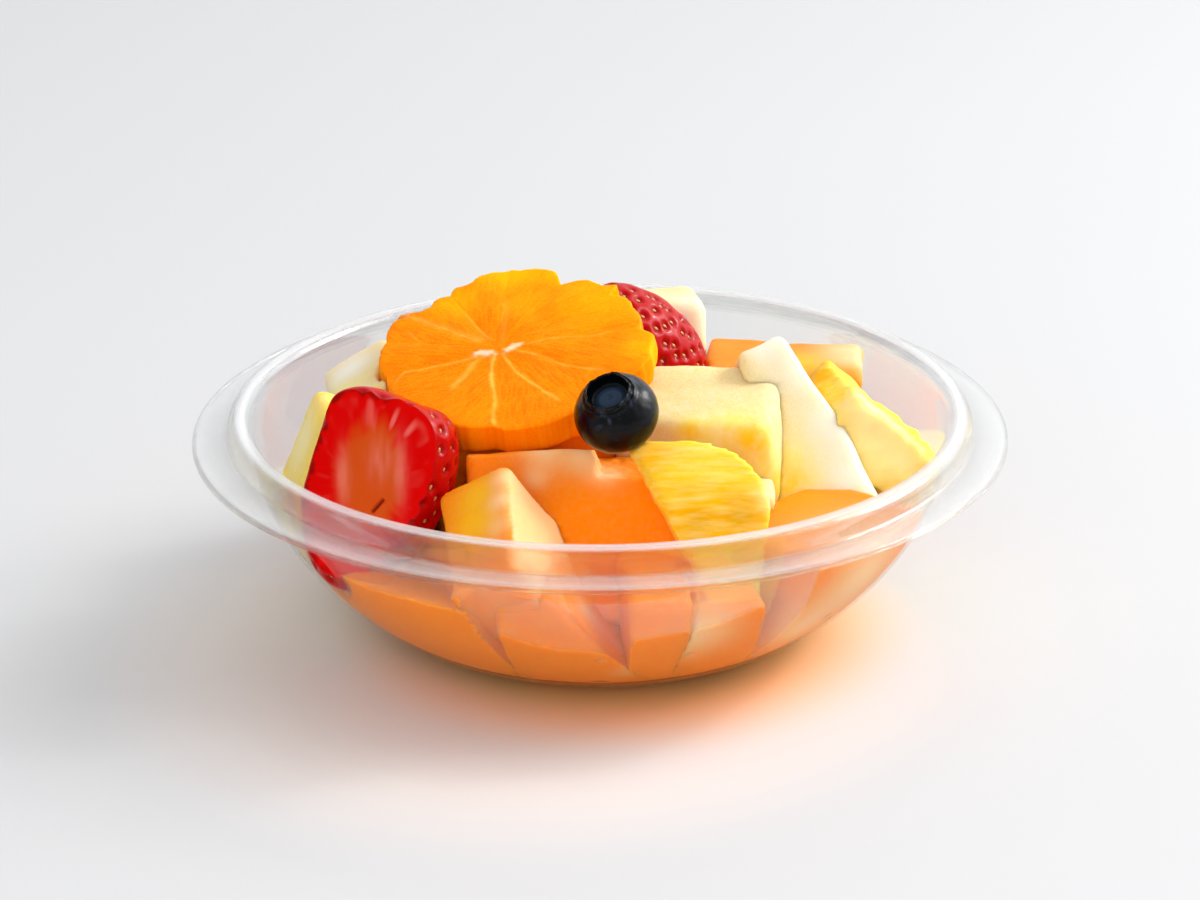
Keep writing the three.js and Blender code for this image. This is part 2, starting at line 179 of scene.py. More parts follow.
def bowl_path():
    """The sheet's inner face as radius and height, from the axis to the lip's edge."""
    panel_top = PANEL_RISE + SHEET
    panel_edge = FOOT_RADIUS - FOOT_WIDTH
    panel = [(0, panel_top), (panel_edge - PANEL_RISE, panel_top), (panel_edge, SHEET)]
    rise = np.linspace(0, math.pi / 2, WALL_STEPS + 1)
    out = np.sin(rise) ** WALL_FLARE
    up = 1 - np.clip(np.cos(rise), 0, 1) ** WALL_ROUND
    wall = np.column_stack([FOOT_RADIUS + (WALL_RADIUS - FOOT_RADIUS) * out,
                            SHEET + (FLANGE_HEIGHT - SHEET) * up])
    arch = np.linspace(math.pi, 0, BEAD_STEPS + 1)[1:]
    bead = np.column_stack([WALL_RADIUS + BEAD_WIDTH / 2 * (1 + np.cos(arch)),
                            FLANGE_HEIGHT + BEAD_HEIGHT * np.clip(np.sin(arch), 0, 1) ** BEAD_SQUARE])
    lip = [(RIM_RADIUS - LIP_DROP / 2, FLANGE_HEIGHT), (RIM_RADIUS, FLANGE_HEIGHT - LIP_DROP / 2),
           (RIM_RADIUS, FLANGE_HEIGHT - LIP_DROP)]
    return np.vstack([panel, wall, bead, lip])


def offset_path(path, offset):
    """Moves a path sideways by offset, to the right of its direction."""
    steps = np.diff(path, axis=0)
    steps /= np.linalg.norm(steps, axis=1)[:, None]
    before = np.vstack([steps[:1], steps])
    after = np.vstack([steps, steps[-1:]])
    along = before + after
    along /= np.linalg.norm(along, axis=1)[:, None]
    stretch = 1 / np.maximum((along * before).sum(1), 0.6)
    moved = path + np.column_stack([along[:, 1], -along[:, 0]]) * (offset * stretch)[:, None]
    moved[0, 0] = 0
    return moved


def ease_corners(path, reach, sharpest=math.radians(20), steps=4):
    """Rounds each corner sharper than `sharpest` with a short curve."""
    eased = [path[0]]
    for before, corner, after in zip(path, path[1:], path[2:]):
        into, away = corner - before, after - corner
        lengths = np.linalg.norm(into), np.linalg.norm(away)
        bend = math.acos(np.clip(into @ away / (lengths[0] * lengths[1]), -1, 1))
        if bend < sharpest:
            eased.append(corner)
            continue
        room = min(reach, lengths[0] / 2, lengths[1] / 2)
        start, end = corner - into / lengths[0] * room, corner + away / lengths[1] * room
        for t in np.linspace(0, 1, steps + 1):
            eased.append(start * (1 - t) ** 2 + corner * 2 * t * (1 - t) + end * t ** 2)
    eased.append(path[-1])
    return np.array(eased)


def turned(name, outline, sides):
    """A body turned about the Z axis from a closed outline of radius and height."""
    angle = np.arange(sides) * 2 * math.pi / sides
    points, rows = [], []
    for radius, height in outline:
        if radius < 1e-7:
            rows.append([len(points)] * sides)
            points.append((0, 0, height))
            continue
        rows.append(list(range(len(points), len(points) + sides)))
        points.extend((radius * math.cos(a), radius * math.sin(a), height) for a in angle)
    faces = []
    for low, high in zip(rows, rows[1:] + rows[:1]):
        for i in range(sides):
            j = (i + 1) % sides
            face = list(dict.fromkeys([low[i], low[j], high[j], high[i]]))
            if len(face) > 2:
                faces.append(face)
    return mesh_object(name, points, faces)


# Smooth formed PET is hard and glossy and as clear as glass.  Where it lies level on the bead and
# the flange it is painted opaque white, a painted reflection of the bright surround that a level
# sheet mirrors there.  A sheet this thin bends and dims little of what is behind it.
BEAD_REFLECTION = 0.75
FLANGE_REFLECTION = 0.34
FLANGE_CLEAR = 4.2 * MM
FLANGE_FADE = 2 * MM
LEVEL_FROM, LEVEL_TO = 0.8, 0.95
THINNESS = 0.58


def formed_pet():
    pet = empty_material("formed clear PET sheet")
    # Where the painted reflection lies, the sheet turns from clear to opaque white.
    painted_reflection = add(pet, "Attribute", attribute_name="painted_reflection")
    clearness = add(pet, "MapRange", {0: painted_reflection.outputs["Fac"], 3: 1.0, 4: 0.0})
    sheet = add(pet, "BsdfPrincipled", {
        "Base Color": srgb("FCFCFC"), "Roughness": 0.06, "IOR": 1.45, "Specular IOR Level": 0.3,
        "Transmission Weight": clearness.outputs[0],
        "Normal": fine_relief(pet, 30 * MM, 1.0, 0.12, 0.15 * MM)})
    return finish_material(pet, let_light_through(pet, sheet.outputs[0], "F6F7F7", THINNESS))


inner_face = bowl_path()
inner_wall = inner_face[:PANEL_POINTS + WALL_STEPS + 1]
outer_face = offset_path(inner_face, SHEET)
on_foot = (outer_face[:, 1] < SHEET / 2) & (outer_face[:, 0] > FOOT_RADIUS - FOOT_WIDTH - SHEET)
outer_face[on_foot, 1] = 0
bowl = turned("clear_bowl", np.vstack([ease_corners(outer_face, OUTER_EASE),
                                       ease_corners(inner_face, INNER_EASE)[::-1]]), BOWL_SIDES)
bowl_points, bowl_normals = read_points(bowl.data), read_normals(bowl.data)
# Painted reflection: the bead's top and the outer flange, where the sheet lies level, are made white.
past_bead = np.hypot(bowl_points[:, 0], bowl_points[:, 1]) - WALL_RADIUS - BEAD_WIDTH
on_flange = np.clip((past_bead - FLANGE_CLEAR) / FLANGE_FADE, 0, 1)
on_bead = bowl_points[:, 2] > FLANGE_HEIGHT + BEAD_HEIGHT / 2
level = np.clip((abs(bowl_normals[:, 2]) - LEVEL_FROM) / (LEVEL_TO - LEVEL_FROM), 0, 1)
write_field(bowl.data, "painted_reflection", level * (BEAD_REFLECTION * on_bead + FLANGE_REFLECTION * on_flange))
place(bowl, formed_pet(), "bowl", "bowl")

# ---- Juice ----
# Melon and orange juice that has run down between the fruit and lies in the bottom of the bowl, a
# shallow pool that reaches out to the wall.
JUICE_LEVEL = 6.5 * MM
INTO_WALL = 0.12 * MM
POOL_SIDES = 96


def mottled(material, size, detail, dark, light):
    """Two tones of a colour in soft patches of that size."""
    patches = add(material, "TexNoise", {"Scale": 1 / size, "Detail": detail})
    tone = add(material, "Mix", {0: patches.outputs[0], 6: srgb(dark), 7: srgb(light)}, data_type="RGBA")
    return tone.outputs[2]


# Fruit juice is clear, yellow-brown and mirror-smooth, and a little pulp clouds it.
def pooled_juice():
    juice = empty_material("pooled fruit juice")
    liquid = add(juice, "BsdfPrincipled", {
        "Base Color": mottled(juice, 9 * MM, 3.0, "D9A53C", "B98722"), "Roughness": 0.05,
        "IOR": 1.35, "Transmission Weight": 1.0})
    return finish_material(juice, let_light_through(juice, liquid.outputs[0], "F0CF8A"))


pool_edge = offset_path(inner_wall, INTO_WALL)
pool_edge = pool_edge[pool_edge[:, 1] < JUICE_LEVEL]
pool_radius = np.interp(JUICE_LEVEL, inner_wall[PANEL_POINTS:, 1], inner_wall[PANEL_POINTS:, 0])
pool = turned("juice_pool", np.vstack([pool_edge, [[pool_radius, JUICE_LEVEL], [0, JUICE_LEVEL]]]),
              POOL_SIDES)
place(pool, pooled_juice(), "orange")

# ---- Cantaloupe ----
# Ripe orange melon cut with a knife into uneven chunks: flat wet faces with soft edges, pressed
# against the bowl's wall lower down.  A painted highlight makes them paler where the light would
# catch the juice on them, and painted shade makes them deeper and more golden where turned from it.
CHUNK_VOXEL = 0.8 * MM
CORE_VOXEL = 1.3 * MM
CANTALOUPES = ["front", "centre", "back_right", "back_left", "low_left", "low_front", "low_middle",
               "low_right", "right", "low_back_right", "low_back_left"]


def lattice_noise(points, size, seed):
    """Smooth noise between -1 and 1 that changes over `size`, one number or three."""
    table = np.random.default_rng(seed).uniform(-1, 1, (16, 16, 16))
    place_in = points / np.array(size) + 100
    cell = np.floor(place_in).astype(int)
    share = place_in - cell
    share = share * share * (3 - 2 * share)
    total = np.zeros(len(points))
    for corner in np.ndindex(2, 2, 2):
        step = np.array(corner)
        weight = np.prod(np.where(step == 1, share, 1 - share), axis=1)
        i, j, k = ((cell + step) % 16).T
        total += weight * table[i, j, k]
    return total


def smooth_step(values, low, high):
    share = np.clip((values - low) / (high - low), 0, 1)
    return share * share * (3 - 2 * share)


def fine_solid(node, name, voxel, rounds):
    """A node's solid as an even fine mesh with its cut edges softened."""
    rough = bpy.data.objects.new(name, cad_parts[node].data.copy())
    rough.data.materials.clear()
    bpy.context.scene.collection.objects.link(rough)
    even = rough.modifiers.new("even", "REMESH")
    even.mode = "VOXEL"
    even.voxel_size = voxel
    even.use_smooth_shade = True
    soft = rough.modifiers.new("soft", "SMOOTH")
    soft.factor = 0.5
    soft.iterations = rounds
    depsgraph = bpy.context.evaluated_depsgraph_get()
    fine = bpy.data.meshes.new_from_object(rough.evaluated_get(depsgraph))
    bpy.data.objects.remove(rough)
    piece = bpy.data.objects.new(name, fine)
    fine.name = name
    bpy.context.scene.collection.objects.link(piece)
    return piece


# Flesh nearer the wall than WALL_TOUCH lies on it, and flesh beyond WALL_CLEAR stays free of it.
# Down in the juice, between the two WALL_FOOT heights, the chunks round off from the wall.
WALL_TOUCH = 1.3 * MM
WALL_CLEAR = 2.6 * MM
WALL_FOOT = (0.6 * JUICE_LEVEL, 1.3 * JUICE_LEVEL)
POINTS_AT_ONCE = 2000


def press_to_wall(points):
    """Moves points that lie close along the bowl's wall out to it, just into the sheet."""
    steps = np.linspace(0, 1, 8, endpoint=False)[:, None]
    line = np.vstack([a + (b - a) * steps for a, b in zip(inner_wall, inner_wall[1:])]
                     + [inner_wall[-1:]])
    radius = np.hypot(points[:, 0], points[:, 1])
    section = np.column_stack([radius, points[:, 2]])
    nearest = np.empty(len(points), int)
    for start in range(0, len(points), POINTS_AT_ONCE):
        part = section[start:start + POINTS_AT_ONCE]
        nearest[start:start + POINTS_AT_ONCE] = ((part[:, None] - line[None]) ** 2).sum(2).argmin(1)
    toward = line[nearest] - section
    gap = np.linalg.norm(toward, axis=1)
    pull = 1 - smooth_step(gap, WALL_TOUCH, WALL_CLEAR)
    pull *= smooth_step(section[:, 1], *WALL_FOOT)
    moved = section + toward * (pull * (gap + INTO_WALL) / np.maximum(gap, 1e-9))[:, None]
    scale = moved[:, 0] / np.maximum(radius, 1e-9)
    return np.column_stack([points[:, 0] * scale, points[:, 1] * scale, moved[:, 1]]), pull


# Painted highlight: a face turned to the light is painted this much paler, and flesh pressed flat
# on the wall is painted a little paler, a painted reflection of the sheet.
LIT_SIDE_SHARE = 0.85
LIT_SIDE_FROM, LIT_SIDE_TO = 0.6, 0.9
PAINTED_WALL_REFLECTION = 0.05
# Soft flesh settles against its neighbours, so each chunk swells to meet them.
SETTLED = 0.32 * MM


def near(points, middle, reach):
    """1 at a middle, falling softly to 0 beyond its reach."""
    return np.exp(-(np.linalg.norm(points - middle, axis=1) / reach) ** 2)


def spots(points, places):
    """How strongly a set of (x, y, z, radius) places in mm covers each point, from 0 to 1."""
    clear = np.ones(len(points))
    for *middle, radius in places:
        clear *= 1 - near(points, np.array(middle) * MM, radius * MM)
    return 1 - clear


def chunk(node, slot, flesh, waves, seed, voxel=CHUNK_VOXEL, rounds=3, tones=None):
    """A fruit chunk: a fine solid with (size, height) waves, pressed to the wall, and its tones of painted
    light and shade.
    """
    piece = fine_solid(node, node + "_flesh", voxel, rounds)
    points = read_points(piece.data)
    normals = read_normals(piece.data)
    for i, (size, height) in enumerate(waves):
        points += normals * (height * lattice_noise(points, size, seed + 31 * i))[:, None]
    points, touching = press_to_wall(points + normals * SETTLED)
    write_points(piece.data, points)
    tones = tones or {}
    # Each tone is a field of painted light: pale a painted highlight, deep and golden a painted shade.
    for tone in ("pale", "deep", "golden"):
        field = spots(points, tones.get(tone, []))
        if tone + "_side" in tones:
            side = normals @ Vector(tones[tone + "_side"]).normalized()
            field = np.maximum(field, LIT_SIDE_SHARE * smooth_step(side, LIT_SIDE_FROM, LIT_SIDE_TO))
        # Flesh that lies on the wall is painted paler too, a painted reflection of the sheet.
        if tone == "pale":
            field = np.maximum(field, PAINTED_WALL_REFLECTION * touching)
        write_field(piece.data, tone, field)
    place(piece, flesh, slot, node)
    return piece


def tinted(material, tone, tints):
    """Lays colours over a tone, each where the mesh's field of that name says."""
    for field, colour in tints:
        share = add(material, "Attribute", attribute_name=field)
        laid = add(material, "Mix", {0: share.outputs["Fac"], 6: tone, 7: colour}, data_type="RGBA")
        tone = laid.outputs[2]
    return tone


# Cut fruit is full of juice: light goes some millimetres in and comes out softened and deeper in
# colour, and a thin wet film lies on the cut.
BLOTCH = 9 * MM


def cut_flesh(name, colours, depth, scatter, grain, relief, strands):
    """Wet fruit flesh.  colours are flesh, blotch, golden and deep painted shade, and the pale of painted
    highlights and fibre strands; grain is its fibres' size.
    """
    flesh = empty_material(name)
    main, blotch, golden, deep, pale = [srgb(colour) for colour in colours]
    spread = add(flesh, "TexNoise", {"Scale": 1 / BLOTCH, "Detail": 3.0, "Roughness": 0.6})
    patch = add(flesh, "MapRange", {0: spread.outputs[0], 1: 0.35, 2: 0.7})
    tone = add(flesh, "Mix", {0: patch.outputs[0], 6: main, 7: blotch}, data_type="RGBA")
    # Painted light and shade: golden and deep where the fields lay painted shade, pale where they lay a
    # painted highlight.
    tone = tinted(flesh, tone.outputs[2], [("golden", golden), ("deep", deep), ("pale", pale)])
    where = add(flesh, "TexCoord")
    stretched = add(flesh, "Mapping", {"Vector": where.outputs["Object"],
                                       "Scale": [1 / size for size in grain]})
    cells = add(flesh, "TexNoise", {"Vector": stretched.outputs[0], "Scale": 1.0,
                                    "Detail": 3.0, "Roughness": 0.6})
    strand = add(flesh, "MapRange", {0: cells.outputs[0], 1: 0.42, 2: 0.75, 3: 0.0, 4: strands})
    # The fibre strands take the same pale colour as the painted highlight.
    grained = add(flesh, "Mix", {0: strand.outputs[0], 6: tone, 7: pale}, data_type="RGBA")
    height = add(flesh, "Bump", {"Strength": 0.6, "Distance": relief, "Height": cells.outputs[0]})
    shine = add(flesh, "MapRange", {0: cells.outputs[0], 1: 0.3, 2: 0.7, 3: 0.3, 4: 0.48})
    wet = add(flesh, "BsdfPrincipled", {
        "Base Color": grained.outputs[2], "Roughness": shine.outputs[0], "IOR": 1.36,
        "Specular IOR Level": 0.1, "Subsurface Weight": 0.75, "Subsurface Radius": scatter,
        "Subsurface Scale": depth, "Coat Weight": 0.05, "Coat Roughness": 0.12, "Coat IOR": 1.33,
        "Normal": height.outputs[0]})
    return finish_material(flesh, wet.outputs[0])


cantaloupe_flesh = cut_flesh(
    "knife-cut cantaloupe flesh", ("F98A10", "F27E06", "FFB414", "FF8A00", "FFCA90"), depth=3 * MM,
    scatter=(1.0, 0.5, 0.1), grain=(1.3 * MM, 1.3 * MM, 1.3 * MM), relief=0.12 * MM, strands=0.08)
MELON_WAVES = [(9 * MM, 0.3 * MM), (3 * MM, 0.1 * MM)]
# Where a chunk is painted paler, a painted highlight, and deeper or more golden, a painted shade:
# x, y, z and radius in mm.  pale_side is the way a face turns to the light to be painted paler.
CANTALOUPE_TONES = {
    "front": {"pale_side": (0.85, -0.35, 0.35), "golden": [(-26, -50, 49.5, 5), (-26, -56, 45, 6)],
              "pale": [(-20.7, -49, 52.8, 2.5), (-20.9, -54, 50, 2.8), (-20.3, -59, 45.5, 2.8),
                       (-20, -63, 41, 2.8)]},
    "centre": {"pale": [(-12, -28, 51, 5), (-4, -29, 50, 4), (1, -30, 48, 4), (-14, -32, 46, 2.5)],
               "deep": [(8, -36, 40, 13), (-4, -36, 40, 9)]},
    "low_left": {"deep": [(-35, -63, 31, 6)]},
    "low_front": {"pale": [(-3, -58, 26, 4), (5, -58, 16, 4)]},
    "low_right": {"pale": [(20, -72, 24, 10)]},
    "right": {"pale": [(56, -47, 30, 12), (43, -50, 20, 9)], "deep": [(44, -25, 38, 8)]},
    "back_right": {"golden": [(52, 30, 44, 6), (47, 32, 47, 6)],
                   "pale": [(60, 33, 47, 5), (60, 40, 49, 8)]},
}
# The centre chunk's right end was torn off, not cut: its upper edge drops there in a rough step.
TORN_FROM, TORN_TO = -2.4 * MM, 0.2 * MM
TORN_FLOOR = 46 * MM
TORN_WANDER = 1.2 * MM
TORN_ROUGH = 0.5 * MM
TORN_SHARE = 0.92


def tear_end(piece):
    points = read_points(piece.data)
    rough = lattice_noise(points, 1.5 * MM, 140) + 0.5 * lattice_noise(points, 0.8 * MM, 141)
    gone = smooth_step(points[:, 0] + TORN_WANDER * rough, TORN_FROM, TORN_TO)
    above = np.maximum(points[:, 2] - TORN_FLOOR - TORN_ROUGH * rough, 0)
    points[:, 2] -= TORN_SHARE * gone * above
    write_points(piece.data, points)


for i, part in enumerate(CANTALOUPES):
    piece = chunk("cantaloupe_" + part, "cantaloupe", cantaloupe_flesh, MELON_WAVES, 100 + i, rounds=1,
                  tones=CANTALOUPE_TONES.get(part))
    if part == "centre":
        tear_end(piece)
chunk("cantaloupe_core_left", "cantaloupe", cantaloupe_flesh, MELON_WAVES[:1], 130, CORE_VOXEL)

# ---- Honeydew ----
# Pale melon, cut like the cantaloupe: cream-white and juicy.  Golden and deep yellow are painted
# into its thin and shaded parts, a painted glow of coloured light from what lies behind and below it.
HONEYDEWS = ["middle", "tall", "left", "back", "low_right", "low_left"]
honeydew_flesh = cut_flesh(
    "knife-cut honeydew flesh", ("F0DCA6", "E6C878", "FAE27C", "FCCE04", "FAF0DE"), depth=4 * MM,
    scatter=(1.0, 0.8, 0.4), grain=(2 * MM, 2 * MM, 3 * MM), relief=0.1 * MM, strands=0.25)
HONEYDEW_WAVES = [(12 * MM, 0.45 * MM), (4 * MM, 0.1 * MM)]
# The middle chunk is from beside the seeds, where the flesh is soft and lumpy.
LUMPY_WAVES = HONEYDEW_WAVES + [(6.5 * MM, 0.55 * MM)]
# Painted highlight (pale) and painted shade and glow (golden and deep): x, y, z and radius in mm.
HONEYDEW_TONES = {
    "tall": {"pale": [(46, -3, 61, 7), (38, 0, 65, 5), (53, -10, 50, 7.5), (57, -15, 40, 8)],
             "golden": [(42, -15, 43, 6), (46.8, -17.3, 39, 3.5)], "deep": [(42, -18, 38.5, 4.5)]},
    "middle": {"golden": [(29.8, -20, 54.5, 5), (35.5, -22.8, 44, 6), (19.9, -20.5, 52, 4),
                          (25, -21, 50, 5)],
               "deep": [(33.5, -22.7, 51.2, 4.5), (38.8, -20.8, 38.4, 5), (19.9, -20.5, 52, 2.5)]},
    "left": {"pale": [(-57, 12, 55, 6)], "golden": [(-58, 2, 52, 6)]},
    "back": {"pale": [(21, 41, 56, 6)]},
}
for i, part in enumerate(HONEYDEWS):
    waves = LUMPY_WAVES if part == "middle" else HONEYDEW_WAVES
    chunk("honeydew_" + part, "honeydew", honeydew_flesh, waves, 200 + i, tones=HONEYDEW_TONES.get(part))
chunk("honeydew_core_right", "honeydew", honeydew_flesh, HONEYDEW_WAVES[:1], 230, CORE_VOXEL)

# ---- Pineapple ----
# Wedges cut from round slices.  The flesh is firm and yellow, and its fibres run out from the core to
# the rind side and stand up a little on the cut.
PINEAPPLES = ["front", "right", "left", "low_back"]
pineapple_flesh = cut_flesh(
    "knife-cut pineapple flesh", ("F6D042", "F0C21E", "F2B000", "E2A804", "FDE6A0"), depth=3 * MM,
    scatter=(1.0, 0.75, 0.15), grain=(9 * MM, 1.6 * MM, 1.6 * MM), relief=0.24 * MM, strands=0.36)
PINE_WAVES = [(8 * MM, 0.4 * MM), (np.array([7, 1.6, 1.6]) * MM, 0.24 * MM)]
# The right wedge has the rind's eyes cut out of it, which leaves it ragged.
RAGGED_WAVES = PINE_WAVES + [(3.6 * MM, 0.75 * MM)]
# Painted highlight (pale) and painted shade (golden and deep): x, y, z and radius in mm.
PINEAPPLE_TONES = {
    "front": {"pale": [(37, -45, 47, 3)],
              "golden": [(19, -48.5, 45.5, 8), (29, -48.5, 45, 8), (11, -36, 53, 6)],
              "deep": [(30, -48.4, 44.6, 4), (21, -50.8, 42.6, 4)]},
    "right": {"pale": [(58, -8.5, 53, 4), (60.5, -9, 50, 6), (63, -8.5, 45, 7), (66, -7.5, 40, 7)],
              "golden": [(52.6, 9, 55, 5)]},
    "left": {"pale": [(-66, -12, 48, 9)]},
}
for i, part in enumerate(PINEAPPLES):
    waves = RAGGED_WAVES if part == "right" else PINE_WAVES
    chunk("pineapple_" + part, "pineapple", pineapple_flesh, waves, 300 + i, rounds=1,
          tones=PINEAPPLE_TONES.get(part))

# ---- Orange wheel ----
# A thick wheel cut across a peeled orange.  Each segment is packed with long juice sacs that point
# to the pith, and thin membranes stand between the segments.
WHEEL_AT = (-18.5, 2, 61.5)
WHEEL_TURN = (17, -5, -3)
WHEEL_RADIUS = 31 * MM
WHEEL_THICKNESS = 9 * MM
WHEEL_EDGE = 1.3 * MM
WHEEL_SCALLOP = 1.3 * MM
WHEEL_SINK = 1.15 * MM
WHEEL_SPOKES = 480
FACE_RINGS = 76
FACE_SHARE = 0.955
EDGE_SHARE = 0.99
SEGMENT_ROUND = 0.55
PITH = np.array([-3.7, -0.5]) * MM
PITH_SINK = 0.7 * MM
# The membranes' angles at the rim, and how much further out each segment reaches.
MEMBRANES = [-91, -57, -25, 8, 36, 60, 88, 120, 145, 168, 197, 233]
SEGMENT_REACH = np.array([0, 0, 1, -0.5, -1.6, -0.8, 0, -2.4, 1, 1, 0.5, 0]) * MM
# Torn places and bumps of the rim: degrees, how far out in mm, and half their width in degrees.
RIM_MARKS = [(60, -2.6, 5), (39, 2.8, 2.5), (88, 1.5, 4), (109, -2.4, 7), (144, 2.4, 3.5), (22, -0.8, 5),
             (133, -0.8, 3), (3, 0.7, 3), (-12, 0.5, 4)]
# Small nicks all round the rim: depth, size and seed.
RIM_NICKS = [(0.4 * MM, 3.4 * MM, 7), (0.24 * MM, 1.2 * MM, 8)]
# Tufts of white pith: middle and half sizes in mm, and lean in degrees.
PITH_TUFTS = [(-7.0, -2.0, 2.6, 1.1, 0), (-0.9, -0.6, 2.3, 1.1, 32)]
TUFT_SHARE = 0.85
# Where a membrane shows: how plainly, its width in mm, and its course as (mm from the pith, degrees).
MEMBRANE_COURSES = [
    (1.0, 0.42, [(2.5, -108), (5, -105), (16, -91.4), (30.5, -89)]),
    (0.75, 0.36, [(3, -70), (4, -67), (11.5, -63), (18, -58), (26, -56)]),
    (0.5, 0.34, [(4, -16), (7.5, -18.4), (17, -27), (27.5, -24)]),
    (0.42, 0.25, [(4, 10), (10.6, 11.4), (20.7, 6.7), (28.5, 9)]),
    (0.25, 0.5, [(3, 84), (19, 88)]),
    (0.25, 0.5, [(4, 124), (18, 120)]),
    (0.45, 0.8, [(5, 145), (28, 145)]),
    (0.4, 0.32, [(18.7, 166.8), (21.5, 160), (24, 155.6)]),
    (0.5, 0.36, [(5, 211), (7, 208), (14, 199), (22, 196.5), (26, 206.6)]),
    (0.6, 0.6, [(5, 220), (7, 222), (12.6, 231.5), (18.5, 234)]),
]
# Painted glow: where the cut is painted brighter, as if light came through it there: x, y and
# radius in mm, and how strongly.
PAINTED_GLOW_SPOTS = [(-2, 30, 9, 1.0), (9, 28, 6, 0.8), (19, 16, 11, 0.65), (30, -3, 6, 0.7), (-14, 18, 6, 0.6),
              (2, 17, 7, 0.4), (-9, -24, 6, 0.15)]
SAC_LENGTH = 7 * MM
SAC_WIDTH = 1.3 * MM
SEAM_SHARE = 0.14
# The cut's relief: segments swell, seams sink, membranes and pith stand up, and the whole is uneven.
SEGMENT_SWELL = 0.25 * MM
SEAM_DEPTH = 0.05 * MM
MEMBRANE_HEIGHT = 0.1 * MM
MEMBRANE_WANDER = 0.35 * MM
TUFT_HEIGHT = 0.15 * MM
FACE_WAVE = 0.3 * MM


def placed(points, at, turn):
    """Points of a piece's own frame, set where the piece lies: at in mm, turn in degrees."""
    spin = np.array(Euler([math.radians(a) for a in turn], "XYZ").to_matrix())
    return points @ spin.T + np.array(at) * MM


def closed_rings(rows, sides, low_end, high_end):
    """Faces of a body of rings, each of so many sides, closed by a point at its low and high end."""
    last = (rows - 1) * sides
    faces = []
    for i in range(sides):
        j = (i + 1) % sides
        faces.append((low_end, j, i))
        faces.append((high_end, last + i, last + j))
        for r in range(0, last, sides):
            faces.append((r + i, r + j, r + sides + j, r + sides + i))
    return faces


def sacs(along, across, seed):
    """Distance to the nearest and second nearest sac centre, in sac sizes, and the sac's own number."""
    table = np.random.default_rng(seed).uniform(0, 1, (3, 64, 64))
    cell = np.floor(np.column_stack([along, across])).astype(int)
    best = np.full(len(along), 9.0)
    second = best.copy()
    own = np.zeros(len(along))
    for step in np.ndindex(3, 3):
        i, j = (cell + np.array(step) - 1).T
        px = i + 0.15 + 0.7 * table[0][i % 64, j % 64]
        py = j + 0.15 + 0.7 * table[1][i % 64, j % 64]
        far = np.hypot(along - px, across - py)
        closer = far < best
        second = np.where(closer, best, np.minimum(second, far))
        own = np.where(closer, table[2][i % 64, j % 64], own)
        best = np.where(closer, far, best)
    return best, second, own


def degrees_off(angle, middle):
    """How many degrees an angle in radians is from a middle in degrees, from -180 to 180."""
    return (np.degrees(angle) - middle + 180) % 360 - 180


def wheel_outline(angle):
    """The rim's distance from the pith, and each spoke's segment, place in it and hollow."""
    edges = np.radians(MEMBRANES + [MEMBRANES[0] + 360])
    turned_to = (angle - edges[0]) % (2 * math.pi) + edges[0]
    segment = np.searchsorted(edges, turned_to, side="right") - 1
    into = turned_to - edges[segment]
    part = into / np.diff(edges)[segment]
    hollow = 1 - np.sin(math.pi * part) ** SEGMENT_ROUND
    toward = PITH[0] * np.cos(angle) + PITH[1] * np.sin(angle)
    reach = -toward + np.sqrt(toward ** 2 + WHEEL_RADIUS ** 2 - PITH @ PITH) - WHEEL_SCALLOP * hollow
    own = SEGMENT_REACH[segment]
    beside = SEGMENT_REACH[(segment + np.where(part < 0.5, -1, 1)) % len(SEGMENT_REACH)]
    lower = np.minimum(own, beside)
    reach += lower + (own - lower) * smooth_step(np.minimum(part, 1 - part), 0, 0.25)
    for middle, out, spread in RIM_MARKS:
        reach += out * MM * np.exp(-(degrees_off(angle, middle) / spread) ** 2)
    rim = np.column_stack([np.cos(angle), np.sin(angle), 0 * angle]) * WHEEL_RADIUS
    for depth, size, seed in RIM_NICKS:
        reach -= depth * (1 + lattice_noise(rim, size, seed))
    return reach, segment, into, hollow


def wheel_section():
    """From the upper pith to the lower: share of the reach, height, and share of the cut's relief."""
    half = WHEEL_THICKNESS / 2
    top = [(s * FACE_SHARE, half, 1.0) for s in np.linspace(0.02, 1, FACE_RINGS)]
    for bend in np.linspace(0, math.pi / 2, 7)[1:]:
        out = FACE_SHARE + (EDGE_SHARE - FACE_SHARE) * math.sin(bend)
        top.append((out, half - WHEEL_EDGE * (1 - math.cos(bend)), math.cos(bend)))
    side = [(EDGE_SHARE + (1 - EDGE_SHARE) * math.sin(math.pi * t), (half - WHEEL_EDGE) * (1 - 2 * t), 0.0)
            for t in np.linspace(0, 1, 12)[1:-1]]
    return top + side + [(s, -z, -w) for s, z, w in reversed(top[10::2])]


def membrane_lines(far, angle, flat):
    """How plainly the membranes show at the points of one ring."""
    wander = MEMBRANE_WANDER * lattice_noise(flat, 5 * MM, 11)
    feather = 0.5 + 0.5 * lattice_noise(flat, 1.4 * MM, 12)
    line = np.zeros(len(far))
    for strength, wide, course in MEMBRANE_COURSES:
        out, turns = np.array(course).T
        off = np.radians(degrees_off(angle, np.interp(far / MM, out, turns))) * far + wander
        shown = smooth_step(far / MM, out[0] - 1.5, out[0] + 1.5)
        shown *= 1 - smooth_step(far / MM, out[-1] - 2.5, out[-1] + 0.8)
        drawn = np.exp(-(off / (wide * MM * (0.8 + 0.7 * feather))) ** 2) * (0.55 + 0.4 * feather)
        line = np.maximum(line, strength * shown * drawn)
    return line


